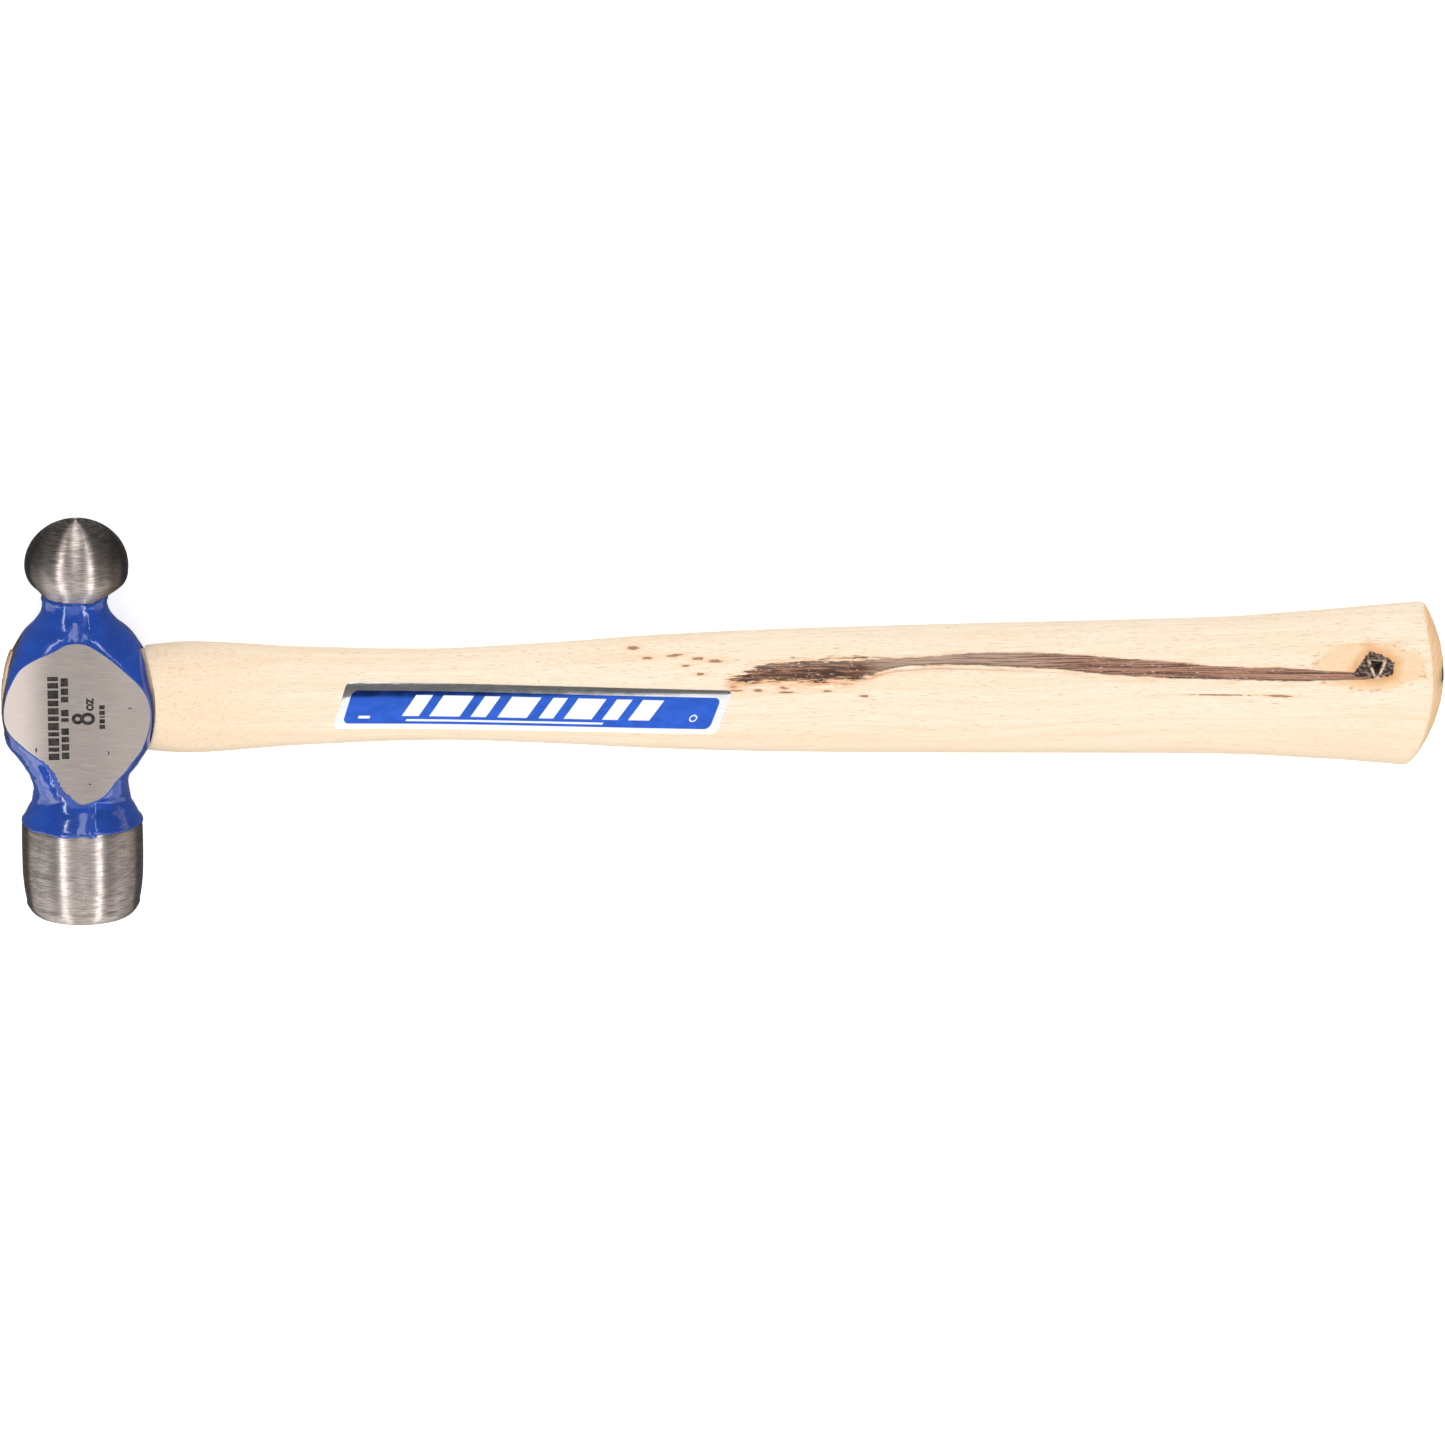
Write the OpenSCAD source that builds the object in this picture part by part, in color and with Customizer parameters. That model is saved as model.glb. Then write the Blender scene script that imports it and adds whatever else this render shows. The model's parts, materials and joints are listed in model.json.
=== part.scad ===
// Ball-pein hammer, lying on one cheek side: +X runs along the handle from the head to the
// butt, +Y points to the ball and +Z is square to the cheeks. The origin lies below the
// middle of the whole hammer, on the surface that it rests on.

/* [Head] */
// Distance from the handle's axis to the striking face
face_reach = 46.4; // [45:0.1:50]
// Distance from the handle's axis to the top of the ball
ball_reach = 38.4; // [37.5:0.1:40]
// Diameter of the striking end
face_d = 25.4; // [25:0.1:27]
// Diameter of the flat on the striking face
face_flat_d = 19; // [15:0.5:21]
// Length of the bevel around the striking face
face_bevel = 3; // [2:0.1:4]
// Diameter of the ball across the head
ball_d = 21.6; // [21:0.1:22.5]
// Diameter of the neck below the ball
ball_neck_d = 13.3; // [12.8:0.1:14]
// Diameter of the neck above the striking end
face_neck_d = 19.4; // [19:0.1:20.4]
// Width of the head at the eye, along the handle
eye_body_w = 31.9; // [31:0.1:33]
// Distance between the two ground cheeks
cheek_t = 19; // [18.6:0.1:19.2]
// Thickness of the enamel film
enamel_t = 0.2; // [0.15:0.05:0.3]

/* [Eye] */
// Length of the oval eye at its waist, along the head
eye_len = 19.6; // [18:0.1:20]
// Width of the oval eye at its waist, between the cheeks
eye_w = 12.4; // [11:0.1:12.6]
// Growth of the eye from its waist to its two mouths
eye_flare = 1.08; // [1.02:0.01:1.1]

/* [Handle] */
// Distance from the handle's axis in the head to the end of the butt
handle_reach = 283.3; // [275:0.5:300]
// Height of the handle at its waist, along the head
waist_h = 19.1; // [18:0.1:21]
// Height of the grip
grip_h = 26.8; // [25:0.1:29]
// Height of the butt
butt_h = 34.2; // [32:0.1:36]
// Thickness of the handle at its waist
waist_t = 14.4; // [13:0.1:16]
// Thickness of the grip
grip_t = 20; // [18:0.1:22]
// Thickness of the butt
butt_t = 23.2; // [21:0.1:24]
// Radius of the domed end of the butt
butt_dome_r = 28.5; // [26:0.5:40]

/* [Wedges] */
// Depth of the wooden wedge in the tenon
wood_wedge_depth = 22; // [18:0.5:24]
// Thickness of the wooden wedge at its thick end
wood_wedge_t = 2.8; // [2:0.1:3.5]
// Depth of each steel wedge
steel_wedge_depth = 13; // [10:0.5:16]
// Thickness of each steel wedge at its thick end
steel_wedge_t = 1.8; // [1.4:0.1:2.4]
// Width of each steel wedge
steel_wedge_w = 9; // [7:0.5:10]

/* [Label] */
// Length of the foil label
label_len = 80; // [60:1:90]
// Width of the foil label
label_w = 9.8; // [8:0.1:11]
// Thickness of the foil label
label_t = 0.15; // [0.1:0.05:0.3]

/* [Hidden] */
ring_points = 48;
join = 0.05;
overlap = 1;
cheek_z = cheek_t / 2;
eye_half_w = eye_body_w / 2;
total_len = handle_reach + eye_half_w;
total_w = face_reach + ball_reach;

// The handle's axis crosses the middle of the eye here
eye_centre = [eye_half_w - total_len / 2, (face_reach - ball_reach) / 2, face_d / 2];

// Stations along the head: place, half width, half thickness, squareness
face_join = -26;
body_low = face_join - 0.2;
body_high = 22.6;
head_stations = [
    [body_low, face_d / 2 - join, face_d / 2 - join, 2],
    [-25, face_d / 2 - 0.8, face_d / 2 - 0.8, 2],
    [-22.9, face_neck_d / 2 + 0.9, face_neck_d / 2 + 0.2, 2],
    [-20.5, face_neck_d / 2 + 0.05, cheek_z - 0.02, 2],
    [-18.5, face_neck_d / 2 - 0.05, cheek_z + 0.3, 2],
    [-16, face_neck_d / 2 + 0.6, cheek_z + 0.8, 2.3],
    [-12.5, 12.6, cheek_z + 1.6, 2.8],
    [-8, 15.1, cheek_z + 2.4, 3.5],
    [-1, eye_half_w, cheek_z + 3, 5],
    [8, 14.5, cheek_z + 2, 3.5],
    [12.6, 12.1, cheek_z + 0.5, 2.5],
    [14.6, 10.6, cheek_z - 0.05, 2.2],
    [17.8, 7.6, cheek_z - 2.1, 2],
    [20.4, ball_neck_d / 2, ball_neck_d / 2, 2],
    [body_high, ball_neck_d / 2, ball_neck_d / 2, 2]
];
cheek_low = -20.7;
cheek_high = 14.7;
head_rings = 30;

// The ball and the ring under it
ball_centre = 29;
ball_low = 24.8;
ball_cone_end = 21.3;
bevel_start = face_reach - face_bevel;
taper_start = 36.5;

// Stations along the handle: place, half height, half thickness, squareness
shoulder = 13.5;
shoulder_end = 23;
handle_stations = [
    [shoulder, 10.9, 8.3, 2.3],
    [shoulder_end, 11.6, 8.7, 2.3],
    [46, waist_h / 2 + 0.75, waist_t / 2 + 0.6, 2.3],
    [73, waist_h / 2, waist_t / 2, 2.3],
    [96, waist_h / 2 + 0.85, waist_t / 2 + 0.7, 2.3],
    [121, grip_h / 2 - 1.5, grip_t / 2 - 1.1, 2.3],
    [146, grip_h / 2 - 0.6, grip_t / 2 - 0.4, 2.3],
    [178, grip_h / 2, grip_t / 2, 2.3],
    [236, grip_h / 2 + 0.9, grip_t / 2 + 0.4, 2.3],
    [255, grip_h / 2 + 2, grip_t / 2 + 0.9, 2.3],
    [handle_reach - 6, butt_h / 2, butt_t / 2, 2.3]
];
handle_rings = 36;

// Offset of the butt's dome, and its soft edge as pairs of size and set-back
butt_dome_y = 2.5;
butt_edge = [[1, 0.9], [0.985, 0.25], [0.955, 0], [0.8, 0], [0.55, 0], [0.2, 0]];

// Radius and place of the curve that the shoulder is cut to, just clear of the enamel
seat_r = 28;
seat_gap = enamel_t + 0.05;

// The grind on the head's top leaves no enamel past this, and the film's two ends
top_grind = 13.4;
film_low = face_join + 1.2;
film_high = 21.4;

// Taper of the wedges at their thin ends
thin_end = 0.3;
steel_wedge_y = 4.6;
steel_wedge_turn = 18;
steel_wedge_sink = 0.3;

// The label's middle along and across the handle, its lean and its tilt
label_x = 94.2;
label_y = -1;
label_lean = 3;
label_tilt = -1.7;
label_columns = 24;
label_rows = 6;
label_lift = 0.03;

// Index of the stretch of stations p that holds the place t
function stretch(p, t, i = 0) = i >= len(p) - 2 || t < p[i + 1][0] ? i : stretch(p, t, i + 1);

// Slope of value k at station i, level where the values turn back
function rise(p, i, k) = (p[i + 1][k] - p[i][k]) / (p[i + 1][0] - p[i][0]);
function slope(p, i, k) =
    i == 0 ? rise(p, 0, k) :
    i == len(p) - 1 ? rise(p, i - 1, k) :
    rise(p, i - 1, k) * rise(p, i, k) <= 0 ? 0 :
    2 * rise(p, i - 1, k) * rise(p, i, k) / (rise(p, i - 1, k) + rise(p, i, k));

// Value k of a smooth curve through the stations p, at the place t
function along(p, t, k) =
    let (i = stretch(p, t), h = p[i + 1][0] - p[i][0], u = (t - p[i][0]) / h)
    p[i][k] * (1 + 2 * u) * pow(1 - u, 2) + slope(p, i, k) * h * u * pow(1 - u, 2)
    + p[i + 1][k] * u * u * (3 - 2 * u) + slope(p, i + 1, k) * h * u * u * (u - 1);

// Distance from the axis to a squared-off oval of half sizes a and b, at the angle q
function oval(a, b, n, q) =
    pow(pow(abs(cos(q)) / a, n) + pow(abs(sin(q)) / b, n), -1 / n);

// Point of the head's skin, lifted by g, at the place y and the angle q
function head_point(y, q, g = 0) =
    let (
        a = along(head_stations, y, 1) + g,
        b = along(head_stations, y, 2) + g,
        r = oval(a, b, along(head_stations, y, 3), q)
    )
    [r * cos(q), y, r * sin(q)];

// Point of the handle's skin, lifted by g, at the place x and the angle q
function handle_point(x, q, g = 0) =
    let (
        a = along(handle_stations, x, 1) + g,
        b = along(handle_stations, x, 2) + g,
        r = oval(a, b, along(handle_stations, x, 3), q)
    )
    [x, r * cos(q), r * sin(q)];

// Height of the handle's skin above its axis, lifted by g, at the place x and y
function handle_height(x, y, g = 0) =
    let (
        a = along(handle_stations, x, 1) + g,
        b = along(handle_stations, x, 2) + g,
        n = along(handle_stations, x, 3)
    )
    b * pow(1 - pow(abs(y) / a, n), 1 / n);

// Ring around the tenon at the place x, where it fills the eye
function tenon_ring(x) =
    let (g = 1 + (eye_flare - 1) * abs(x) / eye_half_w)
    [
        for (q = turn_angles())
        let (r = oval(g * eye_len / 2, g * eye_w / 2, 2, q))
        [x, r * cos(q), r * sin(q)]
    ];

// Ring of size s on the tenon's end, which is ground to the curve of the head's top
function tenon_end(s) = [
    for (p = tenon_ring(-eye_half_w))
    [-along(head_stations, s * p[1], 1), s * p[1], s * p[2]]
];

// Place of the shoulder's seat, curved like the head, at the height y
function seat_place(y) = eye_half_w + seat_gap - seat_r + sqrt(seat_r * seat_r - y * y);

// Ring on the seat, from the tenon at u = 0 to the shoulder's rim at u = 1
function seat_ring(u) = [
    for (q = turn_angles())
    let (
        tenon = oval(eye_flare * eye_len / 2, eye_flare * eye_w / 2, 2, q),
        rim = handle_point(shoulder, q),
        y = tenon * cos(q) * (1 - u) + rim[1] * u,
        z = tenon * sin(q) * (1 - u) + rim[2] * u
    )
    [seat_place(y), y, z]
];

// Ring between the shoulder's rim at u = 0 and the first straight ring at u = 1
function shoulder_ring(u) = [
    for (q = turn_angles())
    let (p = handle_point(shoulder + (shoulder_end - shoulder) * u, q))
    [seat_place(p[1]) * (1 - u) + shoulder_end * u, p[1], p[2]]
];

// Ring of size s on the butt's domed end, set back by b
function butt_ring(s, b) = [
    for (q = turn_angles())
    let (
        p = handle_point(handle_reach - 6, q),
        y = s * p[1],
        z = s * p[2],
        dome = sqrt(pow(butt_dome_r, 2) - pow(y - butt_dome_y, 2) - z * z)
    )
    [handle_reach - butt_dome_r + dome - b, y, z]
];

function steps(low, high, count) = [for (i = [0:count]) low + (high - low) * i / count];
function turn_angles() = [for (j = [0:ring_points - 1]) 360 * j / ring_points];

// Solid through a list of rings that have the same number of points
module loft(rings) {
    n = len(rings[0]);
    points = [for (ring = rings) each ring];
    sides = [
        for (i = [0:len(rings) - 2]) for (j = [0:n - 1])
        let (a = i * n + j, b = i * n + (j + 1) % n)
        each [[a, b, a + n], [b, b + n, a + n]]
    ];
    first = [for (j = [n - 1:-1:0]) j];
    last = [for (j = [0:n - 1]) (len(rings) - 1) * n + j];
    polyhedron(points, concat(sides, [first, last]));
}

module placed() {
    translate(eye_centre) children();
}

// The neck, eye body and neck of the head, lifted by g and ending at two places
module eye_body(g, low, high) {
    loft([for (y = steps(low, high, head_rings)) [for (q = turn_angles()) head_point(y, q, g)]]);
}

// The ball with the cone under it, as a turned solid
module ball() {
    ball_h = ball_reach - ball_centre;
    rotate([-90, 0, 0])
        rotate_extrude($fn = 96)
            polygon([
                [0, ball_cone_end],
                [ball_neck_d / 2 - 0.5, ball_cone_end],
                [ball_neck_d / 2 + 0.4, ball_cone_end + 1],
                [ball_d / 2 - 1.4, ball_low],
                for (q = [-22:5:88]) [ball_d / 2 * cos(q), ball_centre + ball_h * sin(q)],
                [0, ball_reach]
            ]);
}

// The striking end, with a slight taper and a bevel around its flat face
module striking_end() {
    rotate([90, 0, 0])
        rotate_extrude($fn = 96)
            polygon([
                [0, -face_join],
                [face_d / 2, -face_join],
                [face_d / 2, taper_start],
                [face_d / 2 - 0.25, taper_start + 3.5],
                [face_d / 2 - 0.75, bevel_start],
                [face_d / 2 - 1.7, bevel_start + face_bevel * 0.55],
                [face_flat_d / 2, face_reach],
                [0, face_reach]
            ]);
}

// Two blocks that stand where the cheeks are ground away
module cheek_grinds() {
    span = cheek_high - cheek_low;
    for (side = [0, 1])
        mirror([0, 0, side])
            translate([-eye_body_w, cheek_low, cheek_z])
                cube([2 * eye_body_w, span, cheek_t]);
}

// The oval eye, narrowest at its waist, and the tenon that fills it
module eye(low, high) {
    mouth = eye_half_w + overlap;
    growth = 1 + (eye_flare - 1) * mouth / eye_half_w;
    intersection() {
        scale([1, eye_len / 2, eye_w / 2])
            union() {
                rotate([0, 90, 0]) cylinder(h = mouth, r1 = 1, r2 = growth, $fn = 96);
                rotate([0, -90, 0]) cylinder(h = mouth, r1 = 1, r2 = growth, $fn = 96);
            }
        translate([low, -eye_len, -eye_w]) cube([high - low, 2 * eye_len, 2 * eye_w]);
    }
}

// The round top of the head, set back by b, as a block that wedges are trimmed to
module top_trim(b) {
    translate([seat_r - eye_half_w + b, 0, -cheek_t]) cylinder(h = 2 * cheek_t, r = seat_r, $fn = 96);
}

module wood_wedge_shape() {
    low = -eye_half_w - overlap;
    high = wood_wedge_depth - eye_half_w;
    half = wood_wedge_t / 2;
    rotate([90, 0, 0])
        linear_extrude(height = eye_len + 2 * overlap, center = true)
            polygon([[low, -half], [high, -thin_end], [high, thin_end], [low, half]]);
}

module steel_wedge_shape(side) {
    high = steel_wedge_depth - eye_half_w;
    low = -eye_half_w - overlap;
    half = steel_wedge_t / 2;
    translate([0, side * steel_wedge_y, 0])
        rotate([side * steel_wedge_turn, 0, 0])
            linear_extrude(height = steel_wedge_w, center = true)
                polygon([[low, -half], [high, -thin_end], [high, thin_end], [low, half]]);
}

module head() {
    color([0.62, 0.6, 0.57])
        placed()
            difference() {
                union() {
                    eye_body(0, body_low, body_high);
                    ball();
                    striking_end();
                }
                cheek_grinds();
                eye(-eye_body_w, eye_body_w);
            }
}

module head_enamel() {
    color([0.16, 0.27, 0.7])
        placed()
            difference() {
                eye_body(enamel_t, film_low, film_high);
                eye_body(0, body_low, body_high);
                cheek_grinds();
                translate([-top_grind - eye_body_w, -eye_body_w, -cheek_t])
                    cube([eye_body_w, 2 * eye_body_w, 2 * cheek_t]);
                eye(0, eye_body_w);
            }
}

module handle() {
    start = [for (ring = [0.2, 0.6, 1]) tenon_end(ring)];
    tenon = [tenon_ring(-eye_half_w * 0.6), tenon_ring(0), tenon_ring(eye_half_w * 0.6)];
    seat = [for (u = [0:0.5:1]) seat_ring(u)];
    neck = [for (u = steps(1 / 3, 2 / 3, 1)) shoulder_ring(u)];
    shaft = [
        for (x = steps(shoulder_end, handle_reach - 12, handle_rings))
        [for (q = turn_angles()) handle_point(x, q)]
    ];
    butt = [for (e = butt_edge) butt_ring(e[0], e[1])];
    color([0.93, 0.86, 0.74])
        placed()
            difference() {
                loft(concat(start, tenon, seat, neck, shaft, butt));
                wood_wedge_shape();
                for (side = [-1, 1]) steel_wedge_shape(side);
            }
}

module wood_wedge() {
    color([0.72, 0.55, 0.42])
        placed()
            difference() {
                intersection() {
                    wood_wedge_shape();
                    eye(-eye_half_w, eye_half_w);
                    top_trim(0);
                }
                for (side = [-1, 1]) steel_wedge_shape(side);
            }
}

module steel_wedge(side) {
    color([0.5, 0.5, 0.5])
        placed()
            intersection() {
                steel_wedge_shape(side);
                top_trim(steel_wedge_sink);
            }
}

// Foil label that follows the handle's skin
module label() {
    half_len = label_len / 2;
    half_w = label_w / 2;
    function spot(u, v, g) =
        let (
            a = u * half_len + v * label_lean / 2,
            b = v * half_w,
            x = label_x + a * cos(label_tilt) - b * sin(label_tilt),
            y = label_y + a * sin(label_tilt) + b * cos(label_tilt)
        )
        [x, y, handle_height(x, y, g)];
    across = steps(-1, 1, label_rows);
    back = [for (i = [label_rows:-1:0]) across[i]];
    color([0.25, 0.4, 0.75])
        placed()
            loft([
                for (u = steps(-1, 1, label_columns))
                concat(
                    [for (v = across) spot(u, v, label_lift)],
                    [for (v = back) spot(u, v, label_lift + label_t)]
                )
            ]);
}

head();
head_enamel();
handle();
wood_wedge();
steel_wedge(1);  // steel_wedge_ball_side
steel_wedge(-1);  // steel_wedge_face_side
label();
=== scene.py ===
"""Looks of a small ball-pein hammer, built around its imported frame.

Laid out as an add-on, run as a script.
"""

import functools
import json
import math

import bmesh
import bpy
from mathutils import Matrix, Vector, noise


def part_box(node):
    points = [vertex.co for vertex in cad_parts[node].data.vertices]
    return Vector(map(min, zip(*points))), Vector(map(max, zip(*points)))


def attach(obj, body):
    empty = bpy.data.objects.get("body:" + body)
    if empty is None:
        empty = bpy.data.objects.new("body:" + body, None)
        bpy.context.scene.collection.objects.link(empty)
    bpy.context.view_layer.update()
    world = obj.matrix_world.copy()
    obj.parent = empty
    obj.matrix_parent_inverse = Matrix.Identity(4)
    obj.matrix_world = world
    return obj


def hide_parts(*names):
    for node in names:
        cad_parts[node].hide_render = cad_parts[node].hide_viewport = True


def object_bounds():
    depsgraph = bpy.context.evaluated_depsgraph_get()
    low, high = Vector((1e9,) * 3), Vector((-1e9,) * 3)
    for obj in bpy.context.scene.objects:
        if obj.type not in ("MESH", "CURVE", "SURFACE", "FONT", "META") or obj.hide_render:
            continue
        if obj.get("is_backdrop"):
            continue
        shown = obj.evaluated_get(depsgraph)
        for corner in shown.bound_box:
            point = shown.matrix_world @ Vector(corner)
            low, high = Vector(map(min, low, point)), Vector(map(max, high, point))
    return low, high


bl_info = {
    "name": "Ball-pein hammer",
    "version": (1, 0, 0),
    "blender": (4, 5, 0),
    "location": "3D View > Sidebar > Hammer",
    "description": "Builds the looks of a small ball-pein hammer around its packed frame",
    "category": "Object",
}

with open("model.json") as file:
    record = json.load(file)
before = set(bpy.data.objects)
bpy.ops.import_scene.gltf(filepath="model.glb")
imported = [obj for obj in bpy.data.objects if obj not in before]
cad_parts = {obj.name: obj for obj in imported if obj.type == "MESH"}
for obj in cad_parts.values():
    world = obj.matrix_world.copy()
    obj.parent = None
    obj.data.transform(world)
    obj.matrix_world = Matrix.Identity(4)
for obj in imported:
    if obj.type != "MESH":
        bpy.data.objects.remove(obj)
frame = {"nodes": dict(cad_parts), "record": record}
cad_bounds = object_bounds()

# Shapes are drawn in millimetres around the middle of the eye, and placed in the frame at the end
MM = 0.001
MOUNT = {m["name"]: Vector(m["pos_m"]) for m in frame["record"]["mounts"]}
EYE = Vector((MOUNT["striking_face"].x, MOUNT["hanging_neck"].y, MOUNT["striking_face"].z))
HEAD_LOW, HEAD_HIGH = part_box("head")
HANDLE_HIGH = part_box("handle")[1]
FACE_REACH = (EYE.y - HEAD_LOW.y) / MM
BALL_REACH = (HEAD_HIGH.y - EYE.y) / MM
HANDLE_REACH = (HANDLE_HIGH.x - EYE.x) / MM

# The eye: half its length through the head, its half height and half width at the middle, and its flare
EYE_HALF_W = 15.95
EYE_OVAL = (9.8, 6.2)
EYE_FLARE = 0.08

# Height of the ground cheeks, and the stretch of the head that they cover
CHEEK_Z = 9.5
CHEEK_LOW = -20.7
CHEEK_HIGH = 14.7


# ---------------------------------------------------------------- sizes and colours

def measure(name, description, default, low, high):
    return bpy.props.FloatProperty(
        name=name, description=description, default=default, min=low, max=high, unit="LENGTH")


def paint(name, description, default):
    return bpy.props.FloatVectorProperty(
        name=name, description=description, default=default, min=0, max=1, subtype="COLOR")


class HammerSizes(bpy.types.PropertyGroup):
    """Sizes of the fine shapes that the frame leaves plain."""

    film: measure("Enamel film", "Thickness of the enamel on the head", 0.0002, 0.00005, 0.0006)
    bead: measure("Enamel bead", "Height of the rim where the dipped enamel ends", 0.00022, 0.0, 0.0006)
    stamp_depth: measure("Stamp depth", "Depth of the marks struck into the cheek", 0.00014, 0.00005, 0.0005)
    pocket_depth: measure("Bark pocket", "Depth of the hole in the knot near the butt", 0.0022, 0.0005, 0.004)


class HammerColours(bpy.types.PropertyGroup):
    """Colours of the hammer's finishes."""

    steel: paint("Steel", "Bare forged and ground steel", (0.52, 0.455, 0.42))
    enamel: paint("Enamel", "Dipped enamel around the head", (0.011, 0.058, 0.34))
    wood: paint("Hickory", "Pale wood between the grain lines", (0.91, 0.79, 0.63))
    grain: paint("Grain", "Darker lines of the hickory", (0.87, 0.65, 0.43))
    bark: paint("Bark streak", "Dark fibres of the mineral streak", (0.085, 0.042, 0.026))
    lacquer: paint("Butt lacquer", "Amber lacquer on the end grain", (0.98, 0.63, 0.33))
    print_blue: paint("Label print", "Blue print of the label", (0.037, 0.124, 0.60))


# ---------------------------------------------------------------- curves and meshes

def stretch(stations, t):
    """Index of the stretch of stations that holds the place t."""
    i = 0
    while i < len(stations) - 2 and t >= stations[i + 1][0]:
        i += 1
    return i


def slope(stations, i, k):
    """Slope of value k at station i, level where the values turn back."""
    def rise(j):
        return (stations[j + 1][k] - stations[j][k]) / (stations[j + 1][0] - stations[j][0])
    if i == 0:
        return rise(0)
    if i == len(stations) - 1:
        return rise(i - 1)
    before, after = rise(i - 1), rise(i)
    return 2 * before * after / (before + after) if before * after > 0 else 0


def along(stations, t, k):
    """Value k of a smooth curve through the stations, at the place t."""
    i = stretch(stations, t)
    h = stations[i + 1][0] - stations[i][0]
    u = min(max((t - stations[i][0]) / h, 0), 1)
    return (
        stations[i][k] * (1 + 2 * u) * (1 - u) ** 2
        + slope(stations, i, k) * h * u * (1 - u) ** 2
        + stations[i + 1][k] * u * u * (3 - 2 * u)
        + slope(stations, i + 1, k) * h * u * u * (u - 1)
    )


def smooth(low, high, value):
    """0 below low, 1 above high, and a soft step between. It falls where low is the larger."""
    t = min(max((value - low) / (high - low), 0), 1)
    return t * t * (3 - 2 * t)


def hump(value, middle, width):
    """1 at the middle, falling away to both sides."""
    return math.exp(-(((value - middle) / width) ** 2))


def oval(a, b, n, q):
    """Distance from the axis to a squared-off oval of half sizes a and b, at the angle q."""
    return ((abs(math.cos(q)) / a) ** n + (abs(math.sin(q)) / b) ** n) ** (-1 / n)


def spread(low, high, count):
    """Even places from low to high, with both ends."""
    return [low + (high - low) * i / count for i in range(count + 1)]


def angles(count):
    """Even angles around a full turn."""
    return [2 * math.pi * j / count for j in range(count)]


def loft(rings, looped=False):
    """Closed skin through rings of points: a grid is rolled up, and its seam and poles are merged."""
    rows = list(rings) + ([rings[0]] if looped else [])
    bm = bmesh.new()
    bmesh.ops.create_grid(bm, x_segments=len(rows[0]), y_segments=len(rows) - 1, size=1)
    bm.verts.ensure_lookup_table()
    columns = len(rows[0]) + 1
    for i, vert in enumerate(bm.verts):
        ring = rows[i // columns]
        vert.co = ring[(i % columns) % len(ring)]
    bmesh.ops.remove_doubles(bm, verts=bm.verts, dist=1e-5)
    bmesh.ops.dissolve_degenerate(bm, edges=bm.edges, dist=1e-6)
    bmesh.ops.recalc_face_normals(bm, faces=bm.faces)
    return bm


def block(low, high):
    """Plain block between two corners, used as a cutter."""
    bm = bmesh.new()
    bmesh.ops.create_cube(bm, size=1)
    size = [h - l for l, h in zip(low, high)]
    middle = [(h + l) / 2 for l, h in zip(low, high)]
    bmesh.ops.scale(bm, vec=size, verts=bm.verts)
    bmesh.ops.translate(bm, vec=middle, verts=bm.verts)
    return bm


def prism(outline, low, high, taper=1.0):
    """Solid over a flat outline, from z = low to z = high, with its lower end scaled by taper."""
    middle = Vector([sum(p[k] for p in outline) / len(outline) for k in (0, 1)])
    bm = bmesh.new()
    ring = [bm.verts.new((x, y, high)) for x, y in outline]
    top = bm.faces.new(ring)
    made = bmesh.ops.extrude_face_region(bm, geom=[top])["geom"]
    for vert in (v for v in made if isinstance(v, bmesh.types.BMVert)):
        flat = middle + (vert.co.xy - middle) * taper
        vert.co = (flat.x, flat.y, low)
    bmesh.ops.recalc_face_normals(bm, faces=bm.faces)
    return bm


def spin(bm, degrees, axis):
    """Turns the whole mesh about one axis."""
    turn = Matrix.Rotation(math.radians(degrees), 3, axis)
    bmesh.ops.rotate(bm, cent=(0, 0, 0), matrix=turn, verts=bm.verts)


def gather(parts):
    """One mesh that holds all the parts."""
    bm = bmesh.new()
    for part in parts:
        mesh = bpy.data.meshes.new("part")
        part.to_mesh(mesh)
        part.free()
        bm.from_mesh(mesh)
        bpy.data.meshes.remove(mesh)
    return bm


def as_object(name, bm, *materials):
    """Object that holds the mesh, still in millimetres around the eye."""
    mesh = bpy.data.meshes.new(name)
    for face in bm.faces:
        face.smooth = True
    bm.to_mesh(mesh)
    bm.free()
    for material in materials:
        mesh.materials.append(material)
    obj = bpy.data.objects.new(name, mesh)
    bpy.context.scene.collection.objects.link(obj)
    return obj


def evaluated_mesh(obj):
    """New mesh of the object as it is seen, with its modifiers applied."""
    bpy.context.view_layer.update()
    graph = bpy.context.evaluated_depsgraph_get()
    return bpy.data.meshes.new_from_object(obj.evaluated_get(graph))


def apply_modifiers(obj):
    made = evaluated_mesh(obj)
    obj.modifiers.clear()
    obj.data = made


def carve(obj, tool):
    """Cuts the tool out of the object. The cut takes the tool's material."""
    cut = obj.modifiers.new("cut", "BOOLEAN")
    cut.object = tool
    cut.operation = "DIFFERENCE"
    cut.solver = "EXACT"
    cut.material_mode = "TRANSFER"
    apply_modifiers(obj)
    bpy.data.objects.remove(tool)


def mark_creases(mesh, degrees):
    """Sharp edges where the surface turns quickly, and wherever two finishes meet."""
    mesh.set_sharp_from_angle(angle=math.radians(degrees))
    bm = bmesh.new()
    bm.from_mesh(mesh)
    for edge in bm.edges:
        if len({face.material_index for face in edge.link_faces}) > 1:
            edge.smooth = False
    bm.to_mesh(mesh)
    bm.free()


def place(obj, degrees=30):
    """Brings a finished shape from millimetres around the eye into the frame, as part of its mesh."""
    mark_creases(obj.data, degrees)
    obj.data.transform(Matrix.Translation(EYE) @ Matrix.Scale(MM, 4))
    obj.data.update()
    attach(obj, "root")
    return obj


# ---------------------------------------------------------------- materials

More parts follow.
